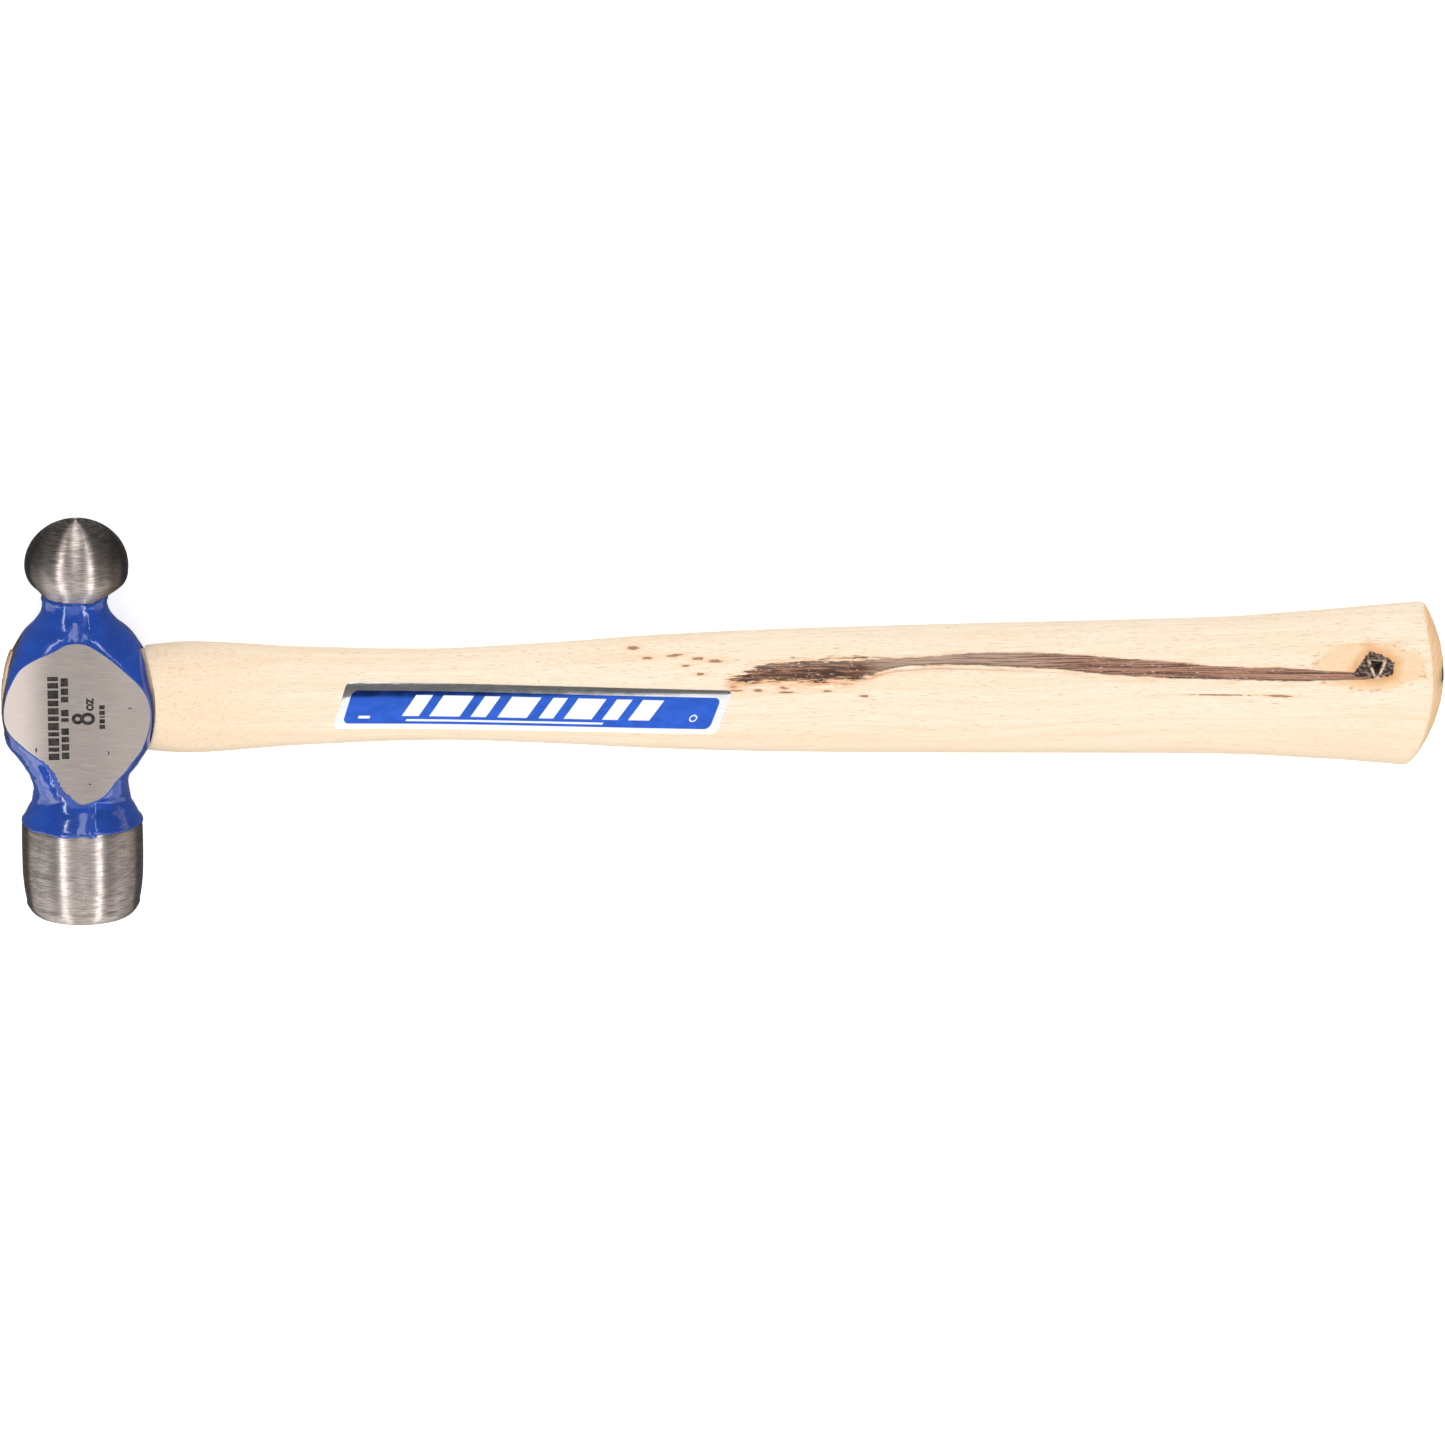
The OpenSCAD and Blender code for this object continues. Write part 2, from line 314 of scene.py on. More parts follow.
class Finish:
    """A material with one Principled shader, and short ways to wire the nodes that feed it."""

    def __init__(self, name):
        self.material = bpy.data.materials.new(name)
        self.material.use_nodes = True
        self.tree = self.material.node_tree
        self.tree.nodes.clear()
        self.shader = self.node("ShaderNodeBsdfPrincipled")
        output = self.node("ShaderNodeOutputMaterial")
        self.tree.links.new(self.shader.outputs[0], output.inputs["Surface"])
        self.spot = self.place_on_surface()

    def node(self, kind, **settings):
        made = self.tree.nodes.new(kind)
        for key, value in settings.items():
            setattr(made, key, value)
        return made

    def feed(self, socket, value):
        """Sets a socket to a constant, or links another node's output to it."""
        if isinstance(value, bpy.types.NodeSocket):
            self.tree.links.new(value, socket)
        elif socket.type == "RGBA" and len(value) == 3:
            socket.default_value = (*value, 1)
        else:
            socket.default_value = value

    def set(self, **values):
        """Feeds the shader's own sockets, named in lower case with underscores."""
        for key, value in values.items():
            self.feed(self.shader.inputs[key.replace("_", " ").title().replace("Ior", "IOR")], value)

    def place_on_surface(self):
        """Place in millimetres around the eye."""
        coordinates = self.node("ShaderNodeTexCoord")
        mapping = self.node("ShaderNodeMapping")
        mapping.inputs["Location"].default_value = -EYE / MM
        mapping.inputs["Scale"].default_value = (1 / MM,) * 3
        self.tree.links.new(coordinates.outputs["Object"], mapping.inputs["Vector"])
        return mapping.outputs["Vector"]

    def split(self, vector):
        """The three parts of a vector."""
        made = self.node("ShaderNodeSeparateXYZ")
        self.feed(made.inputs[0], vector)
        return made.outputs

    def number(self, operation, *values):
        made = self.node("ShaderNodeMath", operation=operation)
        for socket, value in zip(made.inputs, values):
            self.feed(socket, value)
        return made.outputs[0]

    def fold(self, operation, values):
        """One value from several, such as their product or the least of them."""
        return functools.reduce(lambda a, b: self.number(operation, a, b), values)

    def times(self, *values):
        return self.fold("MULTIPLY", values)

    def plus(self, *values):
        return self.fold("ADD", values)

    def minus(self, a, b):
        return self.number("SUBTRACT", a, b)

    def scaled(self, value, by, shift):
        return self.number("MULTIPLY_ADD", value, by, shift)

    def most(self, *values):
        return self.fold("MAXIMUM", values)

    def vector(self, operation, a, b=None, scale=None):
        made = self.node("ShaderNodeVectorMath", operation=operation)
        self.feed(made.inputs[0], a)
        if b is not None:
            self.feed(made.inputs[1], b)
        if scale is not None:
            self.feed(made.inputs["Scale"], scale)
        return made.outputs["Value" if operation == "LENGTH" else "Vector"]

    def step(self, low, high, value, to_low=0.0, to_high=1.0):
        """Soft step of a value between two limits."""
        made = self.node("ShaderNodeMapRange", interpolation_type="SMOOTHSTEP")
        flip = low > high
        for name, given in (
            ("Value", value), ("From Min", high if flip else low), ("From Max", low if flip else high),
            ("To Min", to_high if flip else to_low), ("To Max", to_low if flip else to_high),
        ):
            self.feed(made.inputs[name], given)
        return made.outputs["Result"]

    def grain(self, vector, stretch_by, detail=2.0, roughness=0.5, offset=(0, 0, 0)):
        """Noise whose lumps have the given sizes in millimetres along each axis."""
        mapping = self.node("ShaderNodeMapping")
        mapping.inputs["Scale"].default_value = [1 / s for s in stretch_by]
        mapping.inputs["Location"].default_value = offset
        self.feed(mapping.inputs["Vector"], vector)
        made = self.node("ShaderNodeTexNoise")
        made.inputs["Scale"].default_value = 1
        made.inputs["Detail"].default_value = detail
        made.inputs["Roughness"].default_value = roughness
        self.feed(made.inputs["Vector"], mapping.outputs["Vector"])
        return made.outputs["Fac"]

    def mix(self, factor, a, b):
        made = self.node("ShaderNodeMix", data_type="RGBA")
        self.feed(made.inputs["Factor"], factor)
        self.feed(made.inputs[6], a)
        self.feed(made.inputs[7], b)
        return made.outputs[2]

    def curve(self, points, low, high, value):
        """Smooth curve through points of x and y, read at a value between low and high."""
        top = max(y for _, y in points)
        made = self.node("ShaderNodeFloatCurve")
        line = made.mapping.curves[0]
        while len(line.points) < len(points):
            line.points.new(0.5, 0.5)
        for slot, (x, y) in zip(line.points, points):
            slot.location = ((x - low) / (high - low), y / top)
        made.mapping.update()
        share = self.node("ShaderNodeMapRange")
        for name, given in (("Value", value), ("From Min", low), ("From Max", high)):
            self.feed(share.inputs[name], given)
        self.feed(made.inputs["Value"], share.outputs["Result"])
        return self.times(made.outputs["Value"], top)

    def fleck(self, vector, middle, half, turn=0.0):
        """Distance from the middle of an oval fleck: 1 at its rim."""
        mapping = self.node("ShaderNodeMapping", vector_type="TEXTURE")
        mapping.inputs["Location"].default_value = (middle[0], middle[1], 0)
        mapping.inputs["Rotation"].default_value = (0, 0, math.radians(turn))
        mapping.inputs["Scale"].default_value = (half[0], half[1], 1000)
        self.feed(mapping.inputs["Vector"], vector)
        return self.vector("LENGTH", mapping.outputs["Vector"])

    def lie_along(self, direction):
        """Turns the long side of the highlights to a direction."""
        made = self.node("ShaderNodeCombineXYZ")
        for socket, value in zip(made.inputs, direction):
            socket.default_value = value
        self.tree.links.new(made.outputs[0], self.shader.inputs["Tangent"])

    def bump(self, height, distance, strength=1.0):
        made = self.node("ShaderNodeBump")
        made.inputs["Strength"].default_value = strength
        made.inputs["Distance"].default_value = distance
        self.feed(made.inputs["Height"], height)
        self.feed(self.shader.inputs["Normal"], made.outputs["Normal"])


ALONG_HEAD = (0.0, 1.0, 0.0)


def dim(colour, share):
    """The colour, darker or lighter by a share."""
    return tuple(c * share for c in colour)


def turned_steel(steel):
    """Bare steel that was ground while it turned: fine rings around the head, pits, handling marks and
    painted shade on the ball's flanks.
    """
    f = Finish("turned_steel")
    spot = f.spot
    rings = f.grain(spot, (2.6, 0.10, 2.6), detail=3)
    bands = f.grain(spot, (20, 1.1, 20), offset=(3, 1, 7))
    cloud = f.grain(spot, (3.5, 2.5, 3.5), detail=3, offset=(9, 4, 2))
    pits = f.step(0.68, 0.74, f.grain(spot, (0.5, 0.4, 0.5), offset=(1, 8, 3)))
    tone = f.mix(f.step(0.40, 0.60, rings), dim(steel, 0.62), dim(steel, 1.35))
    tone = f.mix(f.step(0.35, 0.75, cloud, 0, 0.35), tone, dim(steel, 0.72))
    x, y, _ = f.split(spot)
    # Painted shade: the ball's flanks are darkened, standing in for the dark surroundings they reflect
    painted_flank_shade = f.times(f.step(4.0, 8.5, f.number("ABSOLUTE", x)), f.step(20, 24, y), 0.8)
    tone = f.mix(painted_flank_shade, tone, dim(steel, 0.22))
    tone = f.mix(f.step(-24, -28, y, 0, 0.2), tone, dim(steel, 0.9))
    tone = f.mix(pits, tone, dim(steel, 0.20))
    rough = f.plus(f.step(0.3, 0.7, bands, 0.38, 0.46), f.step(0.4, 0.7, cloud, 0, 0.04),
                   f.step(0.35, 0.65, rings, 0.04, -0.04))
    f.set(base_color=tone, metallic=1.0, anisotropic=0.95, roughness=rough)
    f.lie_along(ALONG_HEAD)
    height = f.minus(f.plus(rings, f.times(cloud, 0.6)), pits)
    f.bump(height, 0.00001, 0.6)
    return f.material


def ground_steel(name, steel, across):
    """Steel ground flat on a belt: straight lines along one direction, with painted sheen that makes it
    lighter towards the head's top and a little towards the handle.
    """
    f = Finish(name)
    spot = f.spot
    x = f.split(spot)[0]
    sizes = [0.11 if k == across else 4.5 for k in range(3)]
    line_turn = [0.5 if k == across else 0.0 for k in range(3)]
    bent = f.vector("ADD", spot, f.vector("SCALE", line_turn, scale=f.grain(spot, (3, 2, 3), detail=1)))
    lines = f.grain(bent, sizes, detail=3)
    wide = f.grain(spot, (9, 1.2, 1.2), offset=(5, 2, 1))
    cloud = f.grain(spot, (5, 4, 5), detail=3, offset=(2, 7, 4))
    tone = f.mix(f.step(0.33, 0.67, lines), dim(steel, 0.74), dim(steel, 1.02))
    tone = f.mix(f.step(0.35, 0.75, wide, 0, 0.4), tone, dim(steel, 0.76))
    # Painted sheen: the steel is lighter towards the head's top, and a little lighter towards the handle
    painted_sheen = f.mix(lines, dim(steel, 1.6), dim(steel, 1.9))
    tone = f.mix(f.step(-4, -13, x, 0, 0.85), tone, painted_sheen)
    tone = f.mix(f.step(2, 12, x, 0, 0.4), tone, dim(steel, 1.15))
    rough = f.plus(f.step(0.3, 0.7, cloud, 0.28, 0.42), f.step(0.4, 0.6, lines, 0, 0.06))
    f.set(base_color=tone, metallic=1.0, anisotropic=0.6, roughness=rough)
    f.lie_along(ALONG_HEAD)
    f.bump(f.plus(lines, f.times(wide, 0.5)), 0.00001, 0.6)
    return f.material


def stamped_steel(name, steel, share):
    """Dark bottom of a struck mark, or the scaled wall of the eye."""
    f = Finish(name)
    spot = f.spot
    scale = f.grain(spot, (0.7, 0.7, 0.7), detail=4)
    tone = f.mix(f.step(0.35, 0.7, scale), dim(steel, share), dim(steel, share * 0.45))
    f.set(base_color=tone, metallic=0.5, roughness=f.step(0.3, 0.7, scale, 0.55, 0.8))
    f.bump(scale, 0.00003, 0.5)
    return f.material


def dipped_enamel(blue):
    """Thick glossy enamel with a slight orange peel and dust in it."""
    f = Finish("dipped_enamel")
    spot = f.spot
    peel = f.grain(spot, (1.6, 1.6, 1.6))
    sag = f.grain(spot, (6, 4, 6), offset=(4, 1, 6))
    dust = f.step(0.69, 0.74, f.grain(spot, (0.35, 0.35, 0.35), detail=1, offset=(8, 2, 5)))
    tone = f.mix(f.step(0.3, 0.7, sag), dim(blue, 0.86), dim(blue, 1.12))
    tone = f.mix(f.times(dust, 0.5), tone, (0.10, 0.16, 0.42))
    f.set(base_color=tone, roughness=f.step(0.3, 0.7, peel, 0.10, 0.18), ior=1.55, coat_weight=0.3,
          coat_roughness=0.04)
    f.bump(f.plus(f.times(sag, 2.0), f.times(peel, 0.7), f.times(dust, 0.4)), 0.00006, 0.8)
    return f.material


# Dark flecks of the grain on the top side: middle, half sizes and turn in degrees
FLECKS = (
    ((115.2, 10.6), (1.3, 0.28), 3), ((118.1, 9.0), (1.1, 0.25), 2), ((123.9, 9.5), (1.6, 0.25), 4),
    ((128.7, 8.9), (1.3, 0.30), 2), ((132.2, 8.5), (1.8, 0.32), 0), ((126.2, 7.6), (1.0, 0.22), 5),
    ((129.1, 6.0), (0.9, 0.26), 0), ((135.9, 3.4), (0.9, 0.28), 4), ((136.6, 2.6), (1.5, 0.24), 0),
    ((141.0, 2.6), (1.0, 0.32), -4), ((146.4, 3.1), (1.0, 0.30), -6), ((146.9, 2.2), (1.6, 0.22), 0),
    ((155.3, 2.4), (1.0, 0.24), 0), ((163.0, 1.3), (1.0, 0.26), -3),
    ((236.6, 0.85), (6.4, 0.16), -1), ((248.6, 0.55), (2.9, 0.24), -2),
)

# The streak on the top side: place along the handle, middle and half width
STREAK = (
    (134.0, 4.6, 0.05), (137.5, 5.0, 0.75), (142.0, 6.2, 1.5), (150.0, 6.5, 1.85), (158.0, 6.6, 1.95),
    (164.0, 7.2, 1.6), (168.0, 7.8, 1.0), (174.4, 8.2, 0.8), (182.0, 8.5, 1.05), (191.2, 8.45, 1.3),
    (203.0, 7.95, 1.5), (214.6, 6.9, 1.7), (226.4, 6.1, 1.65), (238.1, 5.4, 1.3), (249.9, 5.05, 1.35),
    (258.0, 4.8, 1.0), (264.0, 4.7, 0.8), (268.0, 4.6, 0.4),
)
KNOT = ((264.0, 4.9), (268.3, 10.4), (271.0, 8.6), (272.9, 7.9), (272.4, 4.9), (269.1, 4.1))
POCKET = ((267.0, 8.6), (271.2, 8.2), (269.5, 4.3), (268.8, 4.3))


def inside(f, outline, x, y, wobble):
    """Distance in millimetres from a convex outline, below 0 inside, with a ragged edge."""
    turn = sum(a[0] * b[1] - a[1] * b[0] for a, b in zip(outline, outline[1:] + outline[:1]))
    side = 1 if turn > 0 else -1
    sides = []
    for (ax, ay), (bx, by) in zip(outline, outline[1:] + outline[:1]):
        length = math.hypot(bx - ax, by - ay)
        nx, ny = side * (by - ay) / length, -side * (bx - ax) / length
        sides.append(f.scaled(x, nx, f.scaled(y, ny, -(nx * ax + ny * ay))))
    return f.plus(f.most(*sides), wobble)


def hickory(colours):
    """Pale sanded hickory with long grain, pores, a dark mineral streak and a knot on the top side."""
    f = Finish("hickory")
    spot = f.spot
    x, y, z = f.split(spot)
    top = f.step(1.0, 3.0, z)

    # Long grain, fibres and pores
    sway = f.grain(spot, (60, 14, 14), detail=1)
    aside = f.vector("SCALE", (0.0, 1.0, 0.7), scale=f.scaled(sway, 7.0, -3.5))
    bent = f.vector("ADD", spot, aside)
    bands = f.grain(bent, (150, 2.1, 2.6), detail=3, roughness=0.6)
    lines = f.grain(bent, (45, 0.55, 0.7), offset=(3, 5, 1))
    fibres = f.grain(bent, (6, 0.16, 0.2), offset=(7, 1, 2))
    pores = f.step(0.63, 0.72, f.grain(bent, (2.6, 0.14, 0.18), detail=1, offset=(1, 9, 4)))
    tone = f.mix(f.step(0.38, 0.72, bands, 0.0, 0.62), colours.wood, colours.grain)
    tone = f.mix(f.step(0.50, 0.78, lines, 0.0, 0.55), tone, dim(colours.grain, 0.97))
    tone = f.mix(f.step(0.35, 0.70, fibres, 0.0, 0.42), tone, dim(colours.grain, 0.9))
    tone = f.mix(f.times(pores, 0.68), tone, dim(colours.grain, 0.62))

    # Painted shade: darker, more tan wood towards the lower edge
    tone = f.mix(f.step(-1, -11, y, 0, 0.36), tone, dim(colours.grain, 0.97))

    # Warmer wood by the head, with a stipple of pores
    near = f.step(62, 18, x)
    stipple = f.step(0.58, 0.68, f.grain(spot, (0.9, 0.4, 0.5), detail=1, offset=(6, 6, 1)))
    tone = f.mix(f.times(near, 0.5), tone, dim(colours.grain, 0.98))
    tone = f.mix(f.times(near, stipple, 0.34), tone, (0.60, 0.37, 0.23))

    # Long flecks and hair cracks
    nearest = f.fold("MINIMUM", [f.fleck(spot, *fleck) for fleck in FLECKS])
    ragged = f.scaled(f.grain(spot, (1.2, 0.25, 5), offset=(2, 2, 9)), 1.6, -0.8)
    flecks = f.plus(nearest, ragged)
    tone = f.mix(f.times(f.step(2.6, 0.6, flecks), top, 0.55), tone, (0.82, 0.50, 0.26))
    tone = f.mix(f.times(f.step(1.05, 0.75, flecks), top, 0.88), tone, (0.30, 0.14, 0.065))

    # The mineral streak
    low, high = STREAK[0][0], STREAK[-1][0]
    middle = f.curve([(s[0], s[1]) for s in STREAK], low, high, x)
    half = f.curve([(s[0], s[2]) for s in STREAK], low, high, x)
    off = f.minus(y, middle)
    patchy = f.step(170, 160, x)
    rag = f.grain(spot, (3.2, 0.34, 6), detail=3, roughness=0.65, offset=(4, 3, 2))
    rag = f.times(f.minus(rag, 0.5), f.scaled(patchy, 4.2, 0.9))
    reach = f.minus(f.plus(f.number("ABSOLUTE", off), rag), half)
    within = f.times(f.step(low - 0.5, low + 1.5, x), f.step(high + 1, high - 1, x), top)
    streak = f.times(f.step(0.14, -0.14, reach), within)
    under = f.plus(reach, f.step(-0.6, 0.6, off, -0.5, 0.35))
    glow = f.times(f.step(1.5, -0.2, under), within)
    clouds = f.grain(spot, (7, 1.4, 9), offset=(7, 2, 6))
    scorch = f.scaled(patchy, 0.65, f.step(0.45, 0.65, clouds, 0.08, 0.42))
    tone = f.mix(f.times(glow, scorch), tone, (0.76, 0.40, 0.18))
    strands = f.grain(spot, (13, 0.22, 4), detail=3, roughness=0.65, offset=(1, 1, 5))
    clots = f.grain(spot, (5.0, 0.42, 4), detail=4, roughness=0.65, offset=(6, 1, 2))
    crumbs = f.grain(spot, (0.9, 0.3, 4), offset=(3, 8, 5))
    blotch = f.step(167, 161, x)
    far = f.step(188, 212, x)
    dark = f.mix(blotch, (0.46, 0.31, 0.23), (0.34, 0.16, 0.085))
    dark = f.mix(far, dark, (0.42, 0.22, 0.145))
    dark = f.mix(f.times(f.step(0.42, 0.56, clots), blotch), dark, (0.055, 0.026, 0.017))
    dark = f.mix(f.times(f.step(0.2, 1.2, off), blotch, 0.35), dark, (0.36, 0.27, 0.22))
    fine = f.times(f.step(0.49, 0.56, strands), f.scaled(far, 0.27, 0.63))
    dark = f.mix(fine, dark, colours.bark)
    dust = f.times(f.step(0.62, 0.72, crumbs, 0, 0.75), f.most(far, blotch))
    dark = f.mix(dust, dark, (0.60, 0.50, 0.45))
    rim = f.times(f.step(-0.45, 0.0, reach), f.step(0.3, -0.5, off), 0.8)
    dark = f.mix(rim, dark, colours.bark)

    # A thin reddish line below the streak
    below = f.plus(f.number("ABSOLUTE", f.plus(off, half, 0.75)), f.times(rag, 0.25))
    thread = f.times(f.step(0.22, 0.08, below), f.step(158, 166, x), f.step(212, 180, x), top, 0.55)
    tone = f.mix(thread, tone, (0.58, 0.28, 0.14))

    # The knot, the tan ring around it and its crumbling bark
    chips = f.grain(spot, (0.8, 0.55, 2), detail=3, roughness=0.7, offset=(5, 4, 7))
    wobble = f.scaled(chips, 1.0, -0.5)
    edge = inside(f, KNOT, x, y, wobble)
    ring = f.fleck(spot, (267.5, 6.6), (12.2, 5.2), 0)
    ring = f.plus(ring, f.scaled(f.grain(spot, (4, 1.2, 9), detail=3), 0.5, -0.25))
    tone = f.mix(f.times(f.step(1.05, 0.82, ring), top, 0.52), tone, (0.84, 0.52, 0.25))
    dots = f.step(0.50, 0.66, f.grain(spot, (1.6, 0.7, 3), offset=(9, 9, 3)))
    hoop = f.times(f.step(0.80, 0.93, ring), f.step(1.08, 0.97, ring), top, dots, 0.8)
    tone = f.mix(hoop, tone, (0.66, 0.33, 0.14))
    tone = f.mix(f.times(f.step(2.6, 0.0, edge), top, 0.85), tone, (0.74, 0.38, 0.15))
    tone = f.mix(streak, tone, dark)
    knot = f.times(f.step(0.10, -0.12, edge), top)
    bark = f.mix(f.step(0.46, 0.62, chips), (0.028, 0.016, 0.011), (0.25, 0.165, 0.13))
    glint = f.step(0.64, 0.74, f.grain(spot, (0.5, 0.28, 1), offset=(2, 7, 7)))
    bark = f.mix(f.times(glint, 0.8), bark, (0.60, 0.50, 0.43))
    tone = f.mix(knot, tone, bark)
    rim = f.step(0.28, 0.12, inside(f, POCKET, x, y, f.times(wobble, 0.25)))
    gaps = f.step(0.35, 0.55, f.grain(spot, (1, 1, 1), offset=(1, 3, 3)))
    tone = f.mix(f.times(rim, f.step(8.2, 7.4, y), top, gaps), tone, (0.66, 0.50, 0.35))

    dull = f.most(knot, streak)
    f.set(base_color=tone, ior=1.40, coat_weight=0.04, coat_roughness=0.3,
          roughness=f.scaled(dull, 0.25, f.step(0.3, 0.7, bands, 0.44, 0.52)))
    height = f.plus(f.times(fibres, 0.5), f.times(lines, 0.6), f.times(pores, -0.6),
                    f.times(streak, crumbs, -3.0))
    f.bump(height, 0.00003, 0.45)
    return f.material


def end_grain(name, light, dark, lacquered):
    """Wood cut across: growth rings with open pores, sealed with lacquer."""
    f = Finish(name)
    spot = f.spot
    from_pith = f.vector("MULTIPLY", f.vector("ADD", spot, (0, 60.0, 25.0)), (0, 1, 1))
    away = f.vector("LENGTH", from_pith)
    growth = f.scaled(f.grain(spot, (9, 6, 6)), 3.0, away)
    ring = f.number("FRACT", f.times(growth, 0.55))
    late = f.times(f.step(0.35, 0.85, ring), f.step(1.0, 0.93, ring))
    pores = f.step(0.60, 0.70, f.grain(spot, (3, 0.22, 0.22), detail=1))
    tone = f.mix(f.times(late, 0.6), light, dark)
    tone = f.mix(f.times(pores, 0.35), tone, dim(dark, 0.6))
    if lacquered:
        y = f.split(spot)[1]
        tone = f.mix(f.step(2, -14, y, 0, 0.6), tone, (0.92, 0.68, 0.42))
        mapping = f.node("ShaderNodeMapping", vector_type="TEXTURE")
        mapping.inputs["Location"].default_value = (HANDLE_REACH, 2.9, 0.5)
        mapping.inputs["Scale"].default_value = (20, 1.9, 6.0)
        f.feed(mapping.inputs["Vector"], spot)
        ragged = f.scaled(f.grain(spot, (1, 0.9, 0.9), detail=3, offset=(4, 4, 4)), 0.9, -0.45)
        heart = f.plus(f.vector("LENGTH", mapping.outputs["Vector"]), ragged)
        tone = f.mix(f.step(1.8, 1.0, heart, 0, 0.5), tone, (0.45, 0.24, 0.10))
        tone = f.mix(f.step(1.05, 0.85, heart), tone, (0.05, 0.035, 0.03))
    f.set(base_color=tone, ior=1.45, coat_weight=0.15 if lacquered else 0.05, coat_roughness=0.2,
          roughness=f.step(0.3, 0.7, f.grain(spot, (2, 2, 2)), 0.35, 0.55))
    f.bump(f.minus(f.times(late, 0.5), pores), 0.00003, 0.5)
    return f.material


def pocket_bark():
    """Crumbled bark inside the knot's hole."""
    f = Finish("pocket_bark")
    spot = f.spot
    z = f.split(spot)[2]
    chips = f.grain(spot, (0.5, 0.35, 0.6), detail=4, roughness=0.7)
    tone = f.mix(f.step(0.40, 0.68, chips), (0.012, 0.009, 0.008), (0.20, 0.12, 0.065))
    tone = f.mix(f.step(9.4, 10.4, z, 0, 0.25), tone, (0.58, 0.42, 0.29))
    f.set(base_color=tone, roughness=f.step(0.3, 0.7, chips, 0.7, 0.95))
    f.bump(chips, 0.0001, 0.8)
    return f.material


def wedge_wood():
    """Dry wood of the wedge, cut across."""
    f = Finish("wedge_wood")
    spot = f.spot
    fibres = f.grain(spot, (0.6, 3.0, 0.18), detail=3)
    pores = f.step(0.6, 0.7, f.grain(spot, (2, 0.3, 0.2), detail=1, offset=(3, 3, 3)))
    tone = f.mix(f.step(0.35, 0.7, fibres), (0.46, 0.29, 0.17), (0.30, 0.175, 0.10))
    tone = f.mix(f.times(pores, 0.6), tone, (0.12, 0.07, 0.04))
    f.set(base_color=tone, roughness=f.step(0.3, 0.7, fibres, 0.55, 0.75))
    f.bump(fibres, 0.00004, 0.6)
    return f.material


def wedge_steel():
    """Dull stamped steel of the wedges, with hammer scale and bright bruises from driving."""
    f = Finish("wedge_steel")
    spot = f.spot
    scale = f.grain(spot, (0.9, 0.9, 0.9), detail=4)
    bruise = f.step(0.58, 0.72, f.grain(spot, (1.5, 1.1, 0.7), offset=(2, 5, 8)))
    tone = f.mix(f.step(0.3, 0.7, scale), (0.20, 0.19, 0.18), (0.10, 0.095, 0.09))
    tone = f.mix(bruise, tone, (0.42, 0.40, 0.38))
    f.set(base_color=tone, metallic=0.9, roughness=f.step(0.3, 0.7, scale, 0.35, 0.6))
    f.bump(scale, 0.00004, 0.6)
    return f.material


# ---------------------------------------------------------------- head

def round_stations(*pairs):
    """Stations of places and radii where the head is round."""
    return [(y, r, r, r, 2) for y, r in pairs]


# Stations along the head: place, half width, half thickness to the right and left, squareness
HEAD = (
    *round_stations((-43.4, 11.75), (-40.0, 12.3), (-36.5, 12.55), (-31.0, 12.6), (-27.2, 12.55),
                    (-26.2, 12.3), (-25.0, 11.75)),
    (-23.1, 10.8, 10.7, 10.55, 2.0), (-22.0, 10.15, 9.75, 9.6, 2.0), (-20.7, 9.95, 9.5, 9.42, 2.0),
    (-18.5, 9.65, 10.25, 9.55, 2.6), (-16.0, 10.15, 11.28, 9.74, 2.8), (-12.5, 12.45, 12.62, 9.94, 2.8),
    (-8.0, 15.0, 13.3, 10.69, 3.5), (-1.0, 15.75, 13.65, 13.65, 5), (8.0, 14.3, 10.5, 12.1, 3.5),
    (12.6, 12.1, 9.85, 9.85, 2.5), (14.3, 10.9, 9.5, 9.5, 2.25), (16.8, 8.4, 7.7, 7.7, 2),
    (18.8, 7.0, 6.75, 6.75, 2),
    *round_stations((20.4, 6.6), (22.0, 6.6), (22.8, 7.3), (23.6, 8.2), (24.3, 9.0), (25.0, 9.75),
                    (25.6, 10.15), (26.3, 10.45)),
)

# Slight lean of the forging: place along the head and offset of its middle
LEAN = (
    (-46.4, 0.35), (-26.0, 0.38), (-19.0, 0.32), (-16.0, 0.1), (-13.0, 0.3), (-8.0, 0.0), (8.0, 0.0),
    (12.6, 0.0), (17.8, -0.22), (21.3, -0.35), (24.5, 0.4), (28.7, 0.15), (38.4, 0.15),
)
BALL_CENTRE = 28.7
BALL_R = 10.8
TOP_R = 28.0
TURNS = 160

# Worn edge of the striking face: distance back from the face, and radius
FACE_EDGE = (
    (0.0, 0.0), (0.0, 5.0), (0.0, 9.2), (0.04, 9.55), (0.22, 9.95), (0.6, 10.48), (1.35, 11.15), (2.1, 11.6),
    (2.6, 11.8),
)


def head_r(y, q):
    """Distance from the head's axis to its steel, at the place y and the angle q."""
    share = smooth(-0.25, 0.25, math.cos(q))
    thick = along(HEAD, y, 2) * share + along(HEAD, y, 3) * (1 - share)
    r = oval(along(HEAD, y, 1), thick, along(HEAD, y, 4), q)
    if math.sin(q) > 0.3:
        # A seam of the forging on both necks, and the ragged edge of the cheek
        x = r * math.cos(q)
        face_neck = smooth(-19.5, -21, y) * smooth(-25.8, -24.5, y)
        ball_neck = smooth(14.2, 15.5, y) * smooth(21, 19, y)
        ragged = smooth(-7, -10, y) * smooth(-20.5, -19, y) * smooth(1, -1, x)
        r += 0.13 * hump(x, 3.0, 0.45) * (face_neck + ball_neck)
        r += 0.13 * ragged * noise.noise(Vector((x / 0.8, y / 0.8, 5.0)))
    return r


def head_point(y, q, lift=0.0):
    """Point on the head, lifted off its steel."""
    r = head_r(y, q) + lift
    return along(LEAN, y, 1) + r * math.cos(q), y, r * math.sin(q)


def ring_at(y, radius):
    """Round ring on the leaning axis of the head."""
    return [(along(LEAN, y, 1) + radius * math.cos(q), y, radius * math.sin(q)) for q in angles(TURNS)]


